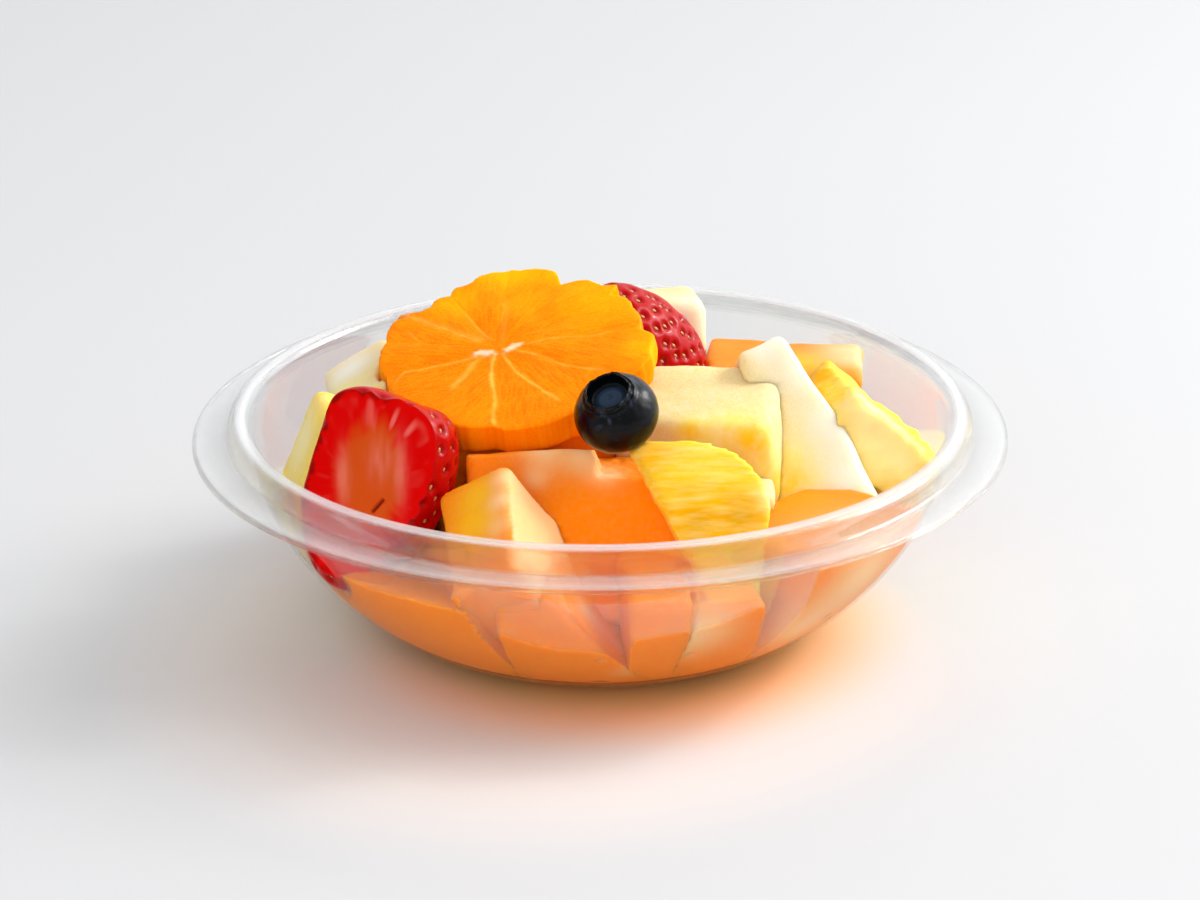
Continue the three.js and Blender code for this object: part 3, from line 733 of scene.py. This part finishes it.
def pith_tufts(flat):
    """How thickly the two tufts' frayed pith covers the points of one ring."""
    rough = 0.35 * lattice_noise(flat, 0.9 * MM, 13)
    tuft = np.zeros(len(flat))
    for x, y, wide, tall, lean in PITH_TUFTS:
        cos, sin = math.cos(math.radians(lean)), math.sin(math.radians(lean))
        dx, dy = flat[:, 0] / MM - x, flat[:, 1] / MM - y
        off = np.hypot((dx * cos + dy * sin) / wide, (dy * cos - dx * sin) / tall)
        tuft = np.maximum(tuft, TUFT_SHARE * (1 - smooth_step(off + rough, 0.25, 1.4)))
    return tuft


def painted_glow_spots(flat):
    """How strongly the painted glow brightens the wheel at the points of one ring."""
    painted_glow = np.zeros(len(flat))
    for x, y, radius, strength in PAINTED_GLOW_SPOTS:
        painted_glow = np.maximum(painted_glow, strength * near(flat[:, :2], np.array([x, y]) * MM, radius * MM))
    return painted_glow


def orange_wheel():
    angle = np.linspace(0, 2 * math.pi, WHEEL_SPOKES, endpoint=False)
    reach, segment, into, hollow = wheel_outline(angle)
    rings, fields = [], []
    for share, height, upper in wheel_section():
        far = reach * share
        ring = np.column_stack([PITH[0] + far * np.cos(angle), PITH[1] + far * np.sin(angle), 0 * far])
        line = membrane_lines(far, angle, ring) * abs(upper) ** 3
        best, second, sac_tone = sacs(far / SAC_LENGTH + 0.8 * segment,
                                      into * far / SAC_WIDTH + 17 * segment, 5)
        seam = (1 - smooth_step(second - best, 0.0, 0.45)) * smooth_step(far, 4 * MM, 12 * MM)
        tuft = pith_tufts(ring)
        fields.append((line, SEAM_SHARE * seam, sac_tone, tuft, painted_glow_spots(ring)))
        swell = SEGMENT_SWELL * (1 - hollow) * smooth_step(far, 3 * MM, 12 * MM) - SEAM_DEPTH * seam
        swell += FACE_WAVE * lattice_noise(ring, 8 * MM, 14)
        swell += TUFT_HEIGHT * tuft + MEMBRANE_HEIGHT * line
        ring[:, 2] = height + upper * (swell - WHEEL_SINK)
        rings.append(ring)
    pith_height = WHEEL_THICKNESS / 2 - PITH_SINK
    points = np.vstack(rings + [[[*PITH, pith_height], [*PITH, -pith_height]]])
    faces = closed_rings(len(rings), WHEEL_SPOKES, len(points) - 2, len(points) - 1)
    piece = mesh_object("orange_wheel_flesh", placed(points, WHEEL_AT, WHEEL_TURN),
                        [face[:1] + face[:0:-1] for face in faces])
    for name, values in zip(("membrane", "seam", "sac_tone", "tuft", "painted_glow"), zip(*fields)):
        write_field(piece.data, name, np.append(np.concatenate(values), [0, 0]))
    return piece


# Cut orange: each sac is a thin skin round clear juice, so the flesh is bright and a little
# uneven in tone, with paler membranes and two white tufts of pith in the middle.
def cut_orange():
    orange = empty_material("knife-cut orange flesh")
    cloud = add(orange, "TexNoise", {"Scale": 1 / (9 * MM), "Detail": 2.0})
    spread = add(orange, "MapRange", {0: cloud.outputs[0], 1: 0.35, 2: 0.65, 3: -0.1, 4: 0.18})
    sac_tone = add(orange, "Attribute", attribute_name="sac_tone")
    uneven = add(orange, "Math", {0: sac_tone.outputs["Fac"], 1: 0.18, 2: spread.outputs[0]},
                 operation="MULTIPLY_ADD")
    # A painted glow brightens the flesh towards the paler orange where light would come through it.
    painted_glow = add(orange, "Attribute", attribute_name="painted_glow")
    lit = add(orange, "Math", {0: painted_glow.outputs["Fac"], 1: uneven.outputs[0]}, operation="ADD")
    tone = add(orange, "Mix", {0: lit.outputs[0], 6: srgb("FF7600"), 7: srgb("FFB000")},
               data_type="RGBA", clamp_factor=True)
    lined = tinted(orange, tone.outputs[2], [("seam", srgb("FFC020")), ("membrane", srgb("FFBE48")),
                                             ("tuft", srgb("FFDDB8"))])
    cut = add(orange, "BsdfPrincipled", {
        "Base Color": lined, "Roughness": 0.45, "IOR": 1.36, "Specular IOR Level": 0.04,
        "Subsurface Weight": 0.8, "Subsurface Radius": (1.0, 0.45, 0.02), "Subsurface Scale": 2.5 * MM,
        "Normal": fine_relief(orange, 1.1 * MM, 2.0, 0.25, 0.08 * MM)})
    return finish_material(orange, cut.outputs[0])


place(orange_wheel(), cut_orange(), "orange", "orange_wheel")

# ---- Strawberries ----
# Two ripe berries without their leaves.  One has a side sliced off, which shows its streaked core;
# their glossy skin is dimpled, with a seed at the bottom of each dimple.
# How full a berry is at its tip and at its leaf end, how round its side is, and how oval it is.
BERRY_FULLNESS = (0.78, 1.08)
BERRY_ROUND = 0.85
BERRY_OVAL = 0.5 * MM
BERRY_CUT = 7 * MM
BERRY_SIDES = 220
BERRY_RINGS = 170
SLICE_RINGS = 44
LEAF_DIP = 3.5 * MM
LEAF_DIP_SHARE = 2 / 13
SEED_COUNT = 200
DIMPLE_RADIUS = 1.1 * MM
DIMPLE_DEPTH = 0.85 * MM
BERRY_WAVE = 0.35 * MM
GOLDEN_ANGLE = math.pi * (3 - math.sqrt(5))
BERRIES = [
    {"node": "strawberry_cut", "at": (-48.5, -35, 45.5), "turn": (-24, 14, -22),
     "radius": 16.5 * MM, "length": 47 * MM, "cut": True},
    {"node": "strawberry_whole", "at": (8, 26, 53.8), "turn": (10, -55, 0),
     "radius": 15 * MM, "length": 38 * MM, "cut": False},
]

# On the cut, in mm from the berry's own axis: the leaning core, pale streaks (x, z, half width and
# half height) and a split.  Pale rays also run in from the rim, mostly at the leaf end.
CORE_MIDDLE = np.array([0.0, 2.0])
CORE_HALF = np.array([8.2, 13.0])
CORE_LEAN = math.radians(21.5)
CORE_FADE = (0.65, 1.12)
CORE_RAGGED = 0.07
STREAK_BANDS = [(-5.9, 0.0, 1.5, 5.5), (5.8, 6.0, 1.5, 6.5), (1.0, 6.0, 2.5, 4.0)]
STREAK_SHARE = 0.5
RAY_WAY = math.radians(82)
RAY_SHARE, RAY_SHARE_THERE = 0.05, 0.4
DARK_EDGE = 0.8
SPLIT_FROM, SPLIT_TO = np.array([3.2, -4.5]), np.array([4.4, -1.6])
SPLIT_WIDTH = 0.36
SPLIT_DEPTH = 0.9 * MM
SLICE_RISE = 0.15 * MM
SLICE_WAVE = 0.12 * MM
SLICE_RAGGED = 0.05 * MM
# The cut berry's own shape: a dent where the leaves were and a full shoulder beside it.
LEAF_DENT = np.array([-3.3, -7, 21.2]) * MM
LEAF_DENT_DEPTH = 1.6 * MM
LEAF_DENT_REACH = 2.2 * MM
SHOULDER = np.array([-11.5, -7, 15.5]) * MM
SHOULDER_PUSH = np.array([-2.4, 0, 0.5]) * MM
SHOULDER_REACH = 6.5 * MM


def berry_outline(share, radius, length):
    """Radius and height of a berry's side, from the tip (0) to the leaf end (1)."""
    polar = math.pi * share
    fullness = np.interp(share, (0, 1), BERRY_FULLNESS) * np.sin(polar) ** BERRY_ROUND
    dip = LEAF_DIP * np.exp(-((1 - share) / LEAF_DIP_SHARE) ** 2)
    return radius * fullness, -length / 2 * np.cos(polar) - dip


def berry_point(share, angle, berry):
    radius = berry["radius"]
    far, height = berry_outline(share, radius, berry["length"])
    far = far * (1 + BERRY_OVAL * np.sin(2 * angle) / radius)
    return np.column_stack([far * np.cos(angle), far * np.sin(angle), height])


def seed_places(seed):
    """Seeds in a loose spiral over a berry, as shares and angles."""
    rng = np.random.default_rng(seed)
    step = np.arange(SEED_COUNT) + 0.5
    share = np.arccos(1 - 2 * step / SEED_COUNT) / math.pi
    share = 0.03 + 0.93 * share + rng.uniform(-0.008, 0.008, SEED_COUNT)
    angle = step * GOLDEN_ANGLE + rng.uniform(-0.12, 0.12, SEED_COUNT)
    return share, angle


def slice_off(mesh):
    """Cuts a berry's side off flat and closes the cut with rings that follow its outline."""
    berry_mesh = bmesh.new()
    berry_mesh.from_mesh(mesh)
    geometry = berry_mesh.verts[:] + berry_mesh.edges[:] + berry_mesh.faces[:]
    bmesh.ops.bisect_plane(berry_mesh, geom=geometry, plane_co=(0, -BERRY_CUT, 0), plane_no=(0, -1, 0),
                           clear_outer=True)
    edge = sorted({v for e in berry_mesh.edges if e.is_boundary for v in e.verts},
                  key=lambda v: math.atan2(v.co.z, v.co.x))
    last = edge
    for k in range(1, SLICE_RINGS):
        share = 1 - (k / SLICE_RINGS) ** 1.3 if k > 1 else 0.985
        ring = [berry_mesh.verts.new((v.co.x * share, -BERRY_CUT, v.co.z * share)) for v in edge]
        for i, outer in enumerate(last):
            j = (i + 1) % len(edge)
            berry_mesh.faces.new((outer, last[j], ring[j], ring[i])).smooth = True
        last = ring
    middle = berry_mesh.verts.new((0, -BERRY_CUT, 0))
    for i, outer in enumerate(last):
        berry_mesh.faces.new((outer, last[(i + 1) % len(edge)], middle)).smooth = True
    berry_mesh.to_mesh(mesh)
    berry_mesh.free()


def strawberry(berry, seed):
    share = np.linspace(0, 1, BERRY_RINGS + 1)[1:-1]
    around = np.arange(BERRY_SIDES) * 2 * math.pi / BERRY_SIDES
    shares, angles = [grid.ravel() for grid in np.meshgrid(share, around, indexing="ij")]
    points = berry_point(shares, angles, berry)
    ends = berry_point(np.array([0.0, 1.0]), np.zeros(2), berry)
    outward = points * np.array([1, 1, 0.65])
    outward /= np.linalg.norm(outward, axis=1)[:, None]
    nearest = np.full(len(points), 1.0)
    for spot in berry_point(*seed_places(seed), berry):
        nearest = np.minimum(nearest, np.linalg.norm(points - spot, axis=1))
    dimple = np.exp(-(nearest / DIMPLE_RADIUS) ** 2)
    swell = BERRY_WAVE * lattice_noise(points, 7 * MM, seed + 1) - DIMPLE_DEPTH * dimple
    points = np.vstack([points + outward * swell[:, None], ends])
    if berry["cut"]:
        points[:, 2] -= LEAF_DENT_DEPTH * near(points, LEAF_DENT, LEAF_DENT_REACH)
        points += SHOULDER_PUSH * near(points, SHOULDER, SHOULDER_REACH)[:, None]
    faces = closed_rings(len(share), BERRY_SIDES, len(points) - 2, len(points) - 1)
    piece = mesh_object(berry["node"] + "_flesh", points, faces)
    write_field(piece.data, "dimple", np.append(dimple, [0, 0]))
    if berry["cut"]:
        finish_slice(piece.data, seed)
    else:
        for name in ("sliced", "core", "streak", "split"):
            write_field(piece.data, name, np.zeros(len(points)))
    write_points(piece.data, placed(read_points(piece.data), berry["at"], berry["turn"]))
    return piece


def ray_noise(way, turns, far, seed):
    """Noise that changes round the cut's middle, and a little with the distance from it."""
    return lattice_noise(np.column_stack([way * turns, far, 0 * far]), 1.0, seed)


def finish_slice(mesh, seed):
    """Cuts the berry and gives the cut its zones: a dark edge, pale streaks, a soft core and a split."""
    slice_off(mesh)
    points = read_points(mesh)
    # Where each point of the cut is: its distance and angle from the middle, and how far inside the edge.
    across = points[:, [0, 2]] / MM
    on_slice = points[:, 1] < -BERRY_CUT + 1e-6
    far = np.hypot(points[:, 0], points[:, 2])
    way = np.arctan2(points[:, 2], points[:, 0])
    bins = ((way + math.pi) / (2 * math.pi) * 360).astype(int) % 360
    limit = np.zeros(360)
    np.maximum.at(limit, bins[on_slice], far[on_slice])
    limit = np.maximum(limit, np.maximum(np.roll(limit, 1), np.roll(limit, -1)) * 0.97)
    inside = np.where(on_slice, (limit[bins] - far) / MM, 0)

    # The core leans, and its border is ragged.
    flat = np.column_stack([across * MM, 0 * far])
    jag = 1.6 * ray_noise(way, 9, far / (6 * MM), seed + 5) * smooth_step(far, 5 * MM, 10 * MM)
    jag += 0.8 * lattice_noise(flat, 2.2 * MM, seed + 6)
    cos, sin = math.cos(CORE_LEAN), math.sin(CORE_LEAN)
    lean = np.array([[cos, sin], [-sin, cos]])
    upright = (across - CORE_MIDDLE) @ lean.T
    off = np.linalg.norm(upright / CORE_HALF, axis=1)
    core = 1 - smooth_step(off + CORE_RAGGED * jag, *CORE_FADE)

    # Pale streaks run along the core, and short rays come in from the rim, mostly at the leaf end.
    grain = np.column_stack([upright[:, 0], upright[:, 1] / 6, 0 * far])
    grain = 0.5 + 0.5 * lattice_noise(grain, 0.8, seed + 7)
    streak = np.zeros(len(points))
    for x, z, wide, tall in STREAK_BANDS:
        side, rise = ((across - np.array([x, z])) @ lean.T).T
        band = np.exp(-(side / wide) ** 2 - (rise / tall) ** 2)
        streak = np.maximum(streak, STREAK_SHARE * band * (0.2 + 0.8 * grain))
    rays = smooth_step(ray_noise(way, 11, 0.2 * far / MM, seed + 8), 0.0, 0.8)
    rays *= RAY_SHARE + RAY_SHARE_THERE * smooth_step(np.cos(way - RAY_WAY), 0.8, 0.98)
    rays *= smooth_step(inside, 1.0, 2.5) * (1 - smooth_step(inside, 5.0, 9.0))
    streak = np.maximum(streak, rays)

    # The skin shows as a dark nicked line along one side, and a short split opens beside the core.
    nicks = 0.7 * ray_noise(way, 18, 0 * far, seed + 10)
    edge = DARK_EDGE * (1 - smooth_step(inside + nicks, 0.2, 1.3)) * smooth_step(-np.cos(way), -0.2, 0.5)
    along = SPLIT_TO - SPLIT_FROM
    t = np.clip((across - SPLIT_FROM) @ along / (along @ along), 0, 1)[:, None]
    split = near(across, SPLIT_FROM + t * along, SPLIT_WIDTH)

    # The cut stands up a little from its edge and is uneven.
    relief = SLICE_WAVE * lattice_noise(flat, 3 * MM, seed + 9) + SLICE_RAGGED * jag - SPLIT_DEPTH * split
    relief = relief * smooth_step(inside, 0.0, 1.2) + SLICE_RISE * smooth_step(inside, 0.3, 2.0)
    points[:, 1] -= np.where(on_slice, relief, 0)
    write_points(mesh, points)
    write_field(mesh, "sliced", on_slice & (inside > 0.25))
    # The split's dark is a painted shade in the crack; the edge is the skin's own dark red.
    for name, values in (("core", core), ("streak", streak), ("split", np.maximum(split, edge))):
        write_field(mesh, name, np.where(on_slice, values, 0))


# A ripe berry's skin is deep red and glossy.  Its cut flesh is matt and wet, red at the rim and
# orange-pink in the core, with pale streaks that lead to the seeds.
def ripe_strawberry():
    berry = empty_material("ripe strawberry skin and sliced flesh")
    skin_tone = mottled(berry, 7 * MM, 2.0, "9A0002", "C40404")
    # Each dimple is painted a darker red, a painted shade in the hollow.
    dimpled = tinted(berry, skin_tone, [("dimple", srgb("8C0204"))])
    core_tone = mottled(berry, 1.2 * MM, 3.0, "C23A04", "DE5E1C")
    # The split is painted dark, a painted shade in the crack; its field also carries the skin's own dark
    # edge.
    cut_tone = tinted(berry, mottled(berry, 1.2 * MM, 3.0, "C60000", "E60400"), [
        ("core", core_tone), ("streak", srgb("F49484")), ("split", srgb("740C04"))])
    sliced = add(berry, "Attribute", attribute_name="sliced")
    gloss = add(berry, "MapRange", {0: sliced.outputs["Fac"], 3: 0.36, 4: 0.02})
    skin = add(berry, "BsdfPrincipled", {
        "Base Color": tinted(berry, dimpled, [("sliced", cut_tone)]), "Roughness": 0.4, "IOR": 1.38,
        "Specular IOR Level": 0.05, "Subsurface Weight": 0.4, "Subsurface Radius": (1.0, 0.15, 0.08),
        "Subsurface Scale": 1.6 * MM, "Coat Weight": gloss.outputs[0], "Coat Roughness": 0.07,
        "Coat IOR": 1.36, "Normal": fine_relief(berry, 0.9 * MM, 2.0, 0.12, 0.1 * MM)})
    return finish_material(berry, skin.outputs[0])


# The seeds' dry husks are hard and a little shiny, some straw yellow and some brown.
def seed_husks():
    husk = empty_material("dry strawberry seed husk")
    shell = add(husk, "BsdfPrincipled", {
        "Base Color": mottled(husk, 3 * MM, 1.0, "F0B060", "A03010"), "Roughness": 0.4,
        "Coat Weight": 0.5, "Coat Roughness": 0.15})
    return finish_material(husk, shell.outputs[0])


SEED_LENGTH = 1.5 * MM
SEED_WIDTH = 0.85 * MM
SEED_SUNK = 0.8 * MM
SEED_SIDES = 8
SEED_FLATNESS = 0.7
# Each ring of a seed: its place along the seed and its width, as shares of the whole.
SEED_RINGS = [(-0.33, 0.55), (0.0, 1.0), (0.3, 0.75)]
SEED_ENDS = (-0.5, 0.42)


def berry_seeds(berry, seed):
    """The seeds of one berry, small pointed ovals that lie along it, as one mesh."""
    share, angle = seed_places(seed)
    middle = berry_point(share, angle, berry)
    above = berry_point(share + 0.01, angle, berry)
    beside = berry_point(share, angle + 0.05, berry)
    ring_points = len(SEED_RINGS) * SEED_SIDES
    seed_faces = closed_rings(len(SEED_RINGS), SEED_SIDES, ring_points, ring_points + 1)
    points, faces = [], []
    for centre, up, side in zip(middle, above - middle, beside - middle):
        if berry["cut"] and centre[1] < -BERRY_CUT + 0.6 * MM:
            continue
        up, side = up / np.linalg.norm(up), side / np.linalg.norm(side)
        out = np.cross(side, up)
        heart = centre - out * SEED_SUNK
        faces += [[len(points) + k for k in face] for face in seed_faces]
        for rise, wide in SEED_RINGS:
            for turn in np.arange(SEED_SIDES) * 2 * math.pi / SEED_SIDES:
                rim = side * math.cos(turn) - out * math.sin(turn) * SEED_FLATNESS
                points.append(heart + up * rise * SEED_LENGTH + rim * wide * SEED_WIDTH / 2)
        points += [heart + up * SEED_LENGTH * end for end in SEED_ENDS]
    points = placed(np.array(points), berry["at"], berry["turn"])
    return mesh_object(berry["node"] + "_seeds", points, faces)


berry_skin = ripe_strawberry()
seed_husk = seed_husks()
for i, berry in enumerate(BERRIES):
    place(strawberry(berry, 40 + 10 * i), berry_skin, "strawberry", berry["node"])
    place(berry_seeds(berry, 40 + 10 * i), seed_husk, "strawberry")

# ---- Blueberry ----
# One ripe berry with its crown to the front: a ring of short, pressed-down lobes round a deep cup.
# Its dark skin is thinly coated with grey-blue wax, rubbed off in most places.
BLUE_AT = (3.6, -31, 61)
BLUE_TURN = (29, -17, 0)
BLUE_RADIUS = 9.3 * MM
BLUE_FLATTEN = 0.86
CROWN_OUTER = 6.3 * MM
CROWN_SHOULDER = 4.7
# The crown's section: radius in mm, height over the berry's round in mm, and share of the lobes.
CROWN = [(6.1, 0.1, 0.1), (5.9, 0.4, 0.5), (5.7, 0.45, 0.7), (5.5, 0.1, 0.5), (5.3, 0.1, 0.4),
         (5.15, 0.55, 0.6), (5.0, 1.0, 0.9), (4.85, 1.15, 1.0), (4.7, 1.05, 1.0), (4.6, 0.6, 0.8),
         (4.5, -0.1, 0.5), (4.35, -0.9, 0.3), (4.15, -1.6, 0.1), (3.7, -2.0, 0), (3.2, -1.75, 0),
         (2.9, -1.4, 0), (2.4, -1.2, 0), (1.6, -1.1, 0), (1.0, -1.1, 0), (0.6, -1.15, 0),
         (0.42, -1.4, 0), (0.2, -1.5, 0)]
# The rings of that section from which the cup's wall and its floor begin.
CUP_START = 9
DISC_START = 14
BLUE_SIDES = 180
BLUE_RINGS = 70
LOBE_WIDTH = 0.05
LOBE_HEIGHT = 0.24 * MM
# The skin's unevenness, finer and stronger on the crown and weaker in the cup's floor.
SKIN_WAVE = 0.16 * MM
SKIN_WRINKLE = 0.05 * MM
CROWN_WRINKLE = 0.08 * MM
DISC_CALM = 0.6
# Wax is left round the crown: how much, at what distance from the axis in mm, and how far about it.
WORN_SHARE = 0.4
WORN_RADIUS = 6.2
WORN_SPREAD = 1.3


def blueberry():
    rim = math.asin(CROWN_OUTER / BLUE_RADIUS)
    tall = BLUE_RADIUS * BLUE_FLATTEN
    polar = np.linspace(math.pi, rim, BLUE_RINGS + 1)[1:]
    outline = [(BLUE_RADIUS * math.sin(p), tall * math.cos(p), 0) for p in polar]
    for radius, lift, share in CROWN:
        round_there = math.sqrt(1 - (max(radius, CROWN_SHOULDER) * MM / BLUE_RADIUS) ** 2)
        outline.append((radius * MM, tall * round_there + lift * MM, share))
    angle = np.arange(BLUE_SIDES) * 2 * math.pi / BLUE_SIDES
    ripple = 0.5 * np.cos(5 * angle + 0.4) + 0.3 * np.cos(11 * angle) + 0.2 * np.sin(17 * angle + 1)
    rings = []
    for radius, height, lobe in outline:
        wide = radius * (1 + LOBE_WIDTH * lobe * ripple)
        rings.append(np.column_stack([wide * np.cos(angle), wide * np.sin(angle),
                                      height + LOBE_HEIGHT * lobe * ripple]))
    points = np.vstack(rings)
    row = np.repeat(np.arange(len(rings)) - BLUE_RINGS, BLUE_SIDES)
    crown, cup, disc = row >= 0, row >= CUP_START, row >= DISC_START
    away = points / np.linalg.norm(points, axis=1)[:, None]
    swell = SKIN_WAVE * lattice_noise(points, 3.5 * MM, 71)
    swell += (SKIN_WRINKLE + CROWN_WRINKLE * crown) * lattice_noise(points, 1.1 * MM, 72)
    points += away * (swell * (1 - DISC_CALM * disc))[:, None]
    ends = np.array([[0, 0, -tall], [0, 0, outline[-1][1]]])
    faces = closed_rings(len(rings), BLUE_SIDES, len(points), len(points) + 1)
    piece = mesh_object("blueberry_skin", placed(np.vstack([points, ends]), BLUE_AT, BLUE_TURN), faces)
    far = np.hypot(points[:, 0], points[:, 1]) / MM
    worn = WORN_SHARE * smooth_step(lattice_noise(points, 1.1 * MM, 73), 0.1, 0.7)
    worn *= np.exp(-((far - WORN_RADIUS) / WORN_SPREAD) ** 2) * (points[:, 2] > 0)
    for name, values in (("cup", [*cup, 0, 1]), ("disc", [*disc, 0, 1]), ("wax", [*worn, 0, 0])):
        write_field(piece.data, name, values)
    return piece


# The skin is blue-black and smooth like polished leather.  Where wax is left it is grey-blue and dull.
def waxed_skin():
    blue = empty_material("blueberry skin with rubbed wax")
    rubbed = add(blue, "TexNoise", {"Scale": 1 / (4.5 * MM), "Detail": 4.0, "Roughness": 0.6})
    film = add(blue, "MapRange", {0: rubbed.outputs[0], 1: 0.55, 2: 0.8, 3: 0.0, 4: 0.05})
    wax = add(blue, "Attribute", attribute_name="wax")
    coated = add(blue, "Math", {0: film.outputs[0], 1: wax.outputs["Fac"]}, operation="MAXIMUM")
    tone = add(blue, "Mix", {0: coated.outputs[0], 6: srgb("040507"), 7: srgb("46566E")},
               data_type="RGBA")
    dull = add(blue, "MapRange", {0: rubbed.outputs[0], 1: 0.35, 2: 0.75, 3: 0.12, 4: 0.2})
    # The cup's wall is painted near black without wax, a painted shade in the hollow; the disc is its own
    # slate blue.
    skin = add(blue, "BsdfPrincipled", {
        "Base Color": tinted(blue, tone.outputs[2], [("cup", srgb("030406")), ("disc", srgb("243448"))]),
        "Roughness": dull.outputs[0], "IOR": 1.42, "Specular IOR Level": 0.24,
        "Normal": fine_relief(blue, 0.8 * MM, 3.0, 0.14, 0.1 * MM)})
    return finish_material(blue, skin.outputs[0])


place(blueberry(), waxed_skin(), "blueberry", "blueberry")

# ---- Table and light ----
# A plain white table, a pale surround, and lamps: one large and soft and one small above and behind
# on the right, and a dim wide one in front.  A matt painted board shows no reflections.  Round the
# bowl's foot it carries a painted pool of warm light, standing in for light that has gone through the
# fruit, inside a wider ring of painted light that lightens the bowl's shadow.
TABLE_HALF = 4.0
# Each patch of painted light: its middle, where it begins to fade, where it ends, and its colour.
PAINTED_TABLE_LIGHT = [((-18 * MM, -26 * MM, 0), 60 * MM, 104 * MM, "E2DAD5"),
               ((6 * MM, -8 * MM, 0), 36 * MM, 70 * MM, "FFC078")]


def painted_table():
    paint = empty_material("matt white painted board")
    where = add(paint, "TexCoord")
    tone = mottled(paint, 60 * MM, 2.0, "CACACA", "CDCDCD")
    for middle, full, gone, colour in PAINTED_TABLE_LIGHT:
        far = add(paint, "VectorMath", {0: where.outputs["Object"], 1: middle}, operation="DISTANCE")
        share = add(paint, "MapRange", {0: far.outputs["Value"], 1: full, 2: gone, 3: 1.0, 4: 0.0},
                    interpolation_type="SMOOTHSTEP")
        lit = add(paint, "Mix", {0: share.outputs[0], 6: tone, 7: srgb(colour)}, data_type="RGBA")
        tone = lit.outputs[2]
    board = add(paint, "BsdfPrincipled", {"Base Color": tone, "Roughness": 0.7,
                                          "Specular IOR Level": 0.2})
    return finish_material(paint, board.outputs[0])


corners = [(-TABLE_HALF, -TABLE_HALF, 0), (TABLE_HALF, -TABLE_HALF, 0), (TABLE_HALF, TABLE_HALF, 0),
           (-TABLE_HALF, TABLE_HALF, 0)]
table = mesh_object("table", corners, [(0, 1, 2, 3)])
table.data.materials.append(painted_table())

# The surround is pale all round and brightest behind on the right, like a wall by a big window.
AMBIENT = 0.58
BACK_SLOPE = 0.14
WINDOW_GLOW = 2.2
WINDOW_SPREAD = 5.0
WINDOW_SIDE = Vector((0.78, 0.4, 0.55)).normalized()

world = bpy.data.worlds.new("pale surround")
world.use_nodes = True
world.node_tree.nodes.clear()
seen_way = add(world, "TexCoord")
facing = add(world, "VectorMath", {0: seen_way.outputs["Generated"], 1: WINDOW_SIDE},
             operation="DOT_PRODUCT")
ahead = add(world, "Math", {0: facing.outputs["Value"], 1: 0.0}, operation="MAXIMUM")
lobe = add(world, "Math", {0: ahead.outputs[0], 1: WINDOW_SPREAD}, operation="POWER")
window = add(world, "Math", {0: lobe.outputs[0], 1: WINDOW_GLOW, 2: AMBIENT}, operation="MULTIPLY_ADD")
apart = add(world, "SeparateXYZ", {0: seen_way.outputs["Generated"]})
all_round = add(world, "Math", {0: apart.outputs["Y"], 1: BACK_SLOPE, 2: window.outputs[0]},
                operation="MULTIPLY_ADD")
surround = add(world, "Background", {"Color": srgb("FBFCFF"), "Strength": all_round.outputs[0]})
add(world, "OutputWorld", {"Surface": surround.outputs[0]})
bpy.context.scene.world = world


def soft_lamp(name, at, size, watts, mirrored=True):
    lamp = bpy.data.lights.new(name, "AREA")
    lamp.shape = "DISK"
    lamp.size = size
    lamp.energy = watts
    stand = bpy.data.objects.new(name, lamp)
    stand.location = at
    stand.rotation_euler = (LOOK_AT - Vector(at)).to_track_quat("-Z", "Y").to_euler()
    stand.visible_glossy = mirrored
    bpy.context.scene.collection.objects.link(stand)


# The small window gives wet skins their sharp lights.  The fill lightens the front without glare.
soft_lamp("key", (1.15, 0.35, 0.85), size=0.85, watts=12)
soft_lamp("window", (1.05, 0.4, 0.85), size=0.2, watts=3.6)
soft_lamp("fill", (-0.3, -1.3, 0.6), size=1.3, watts=9.5, mirrored=False)
bpy.context.scene.view_settings.view_transform = "Standard"
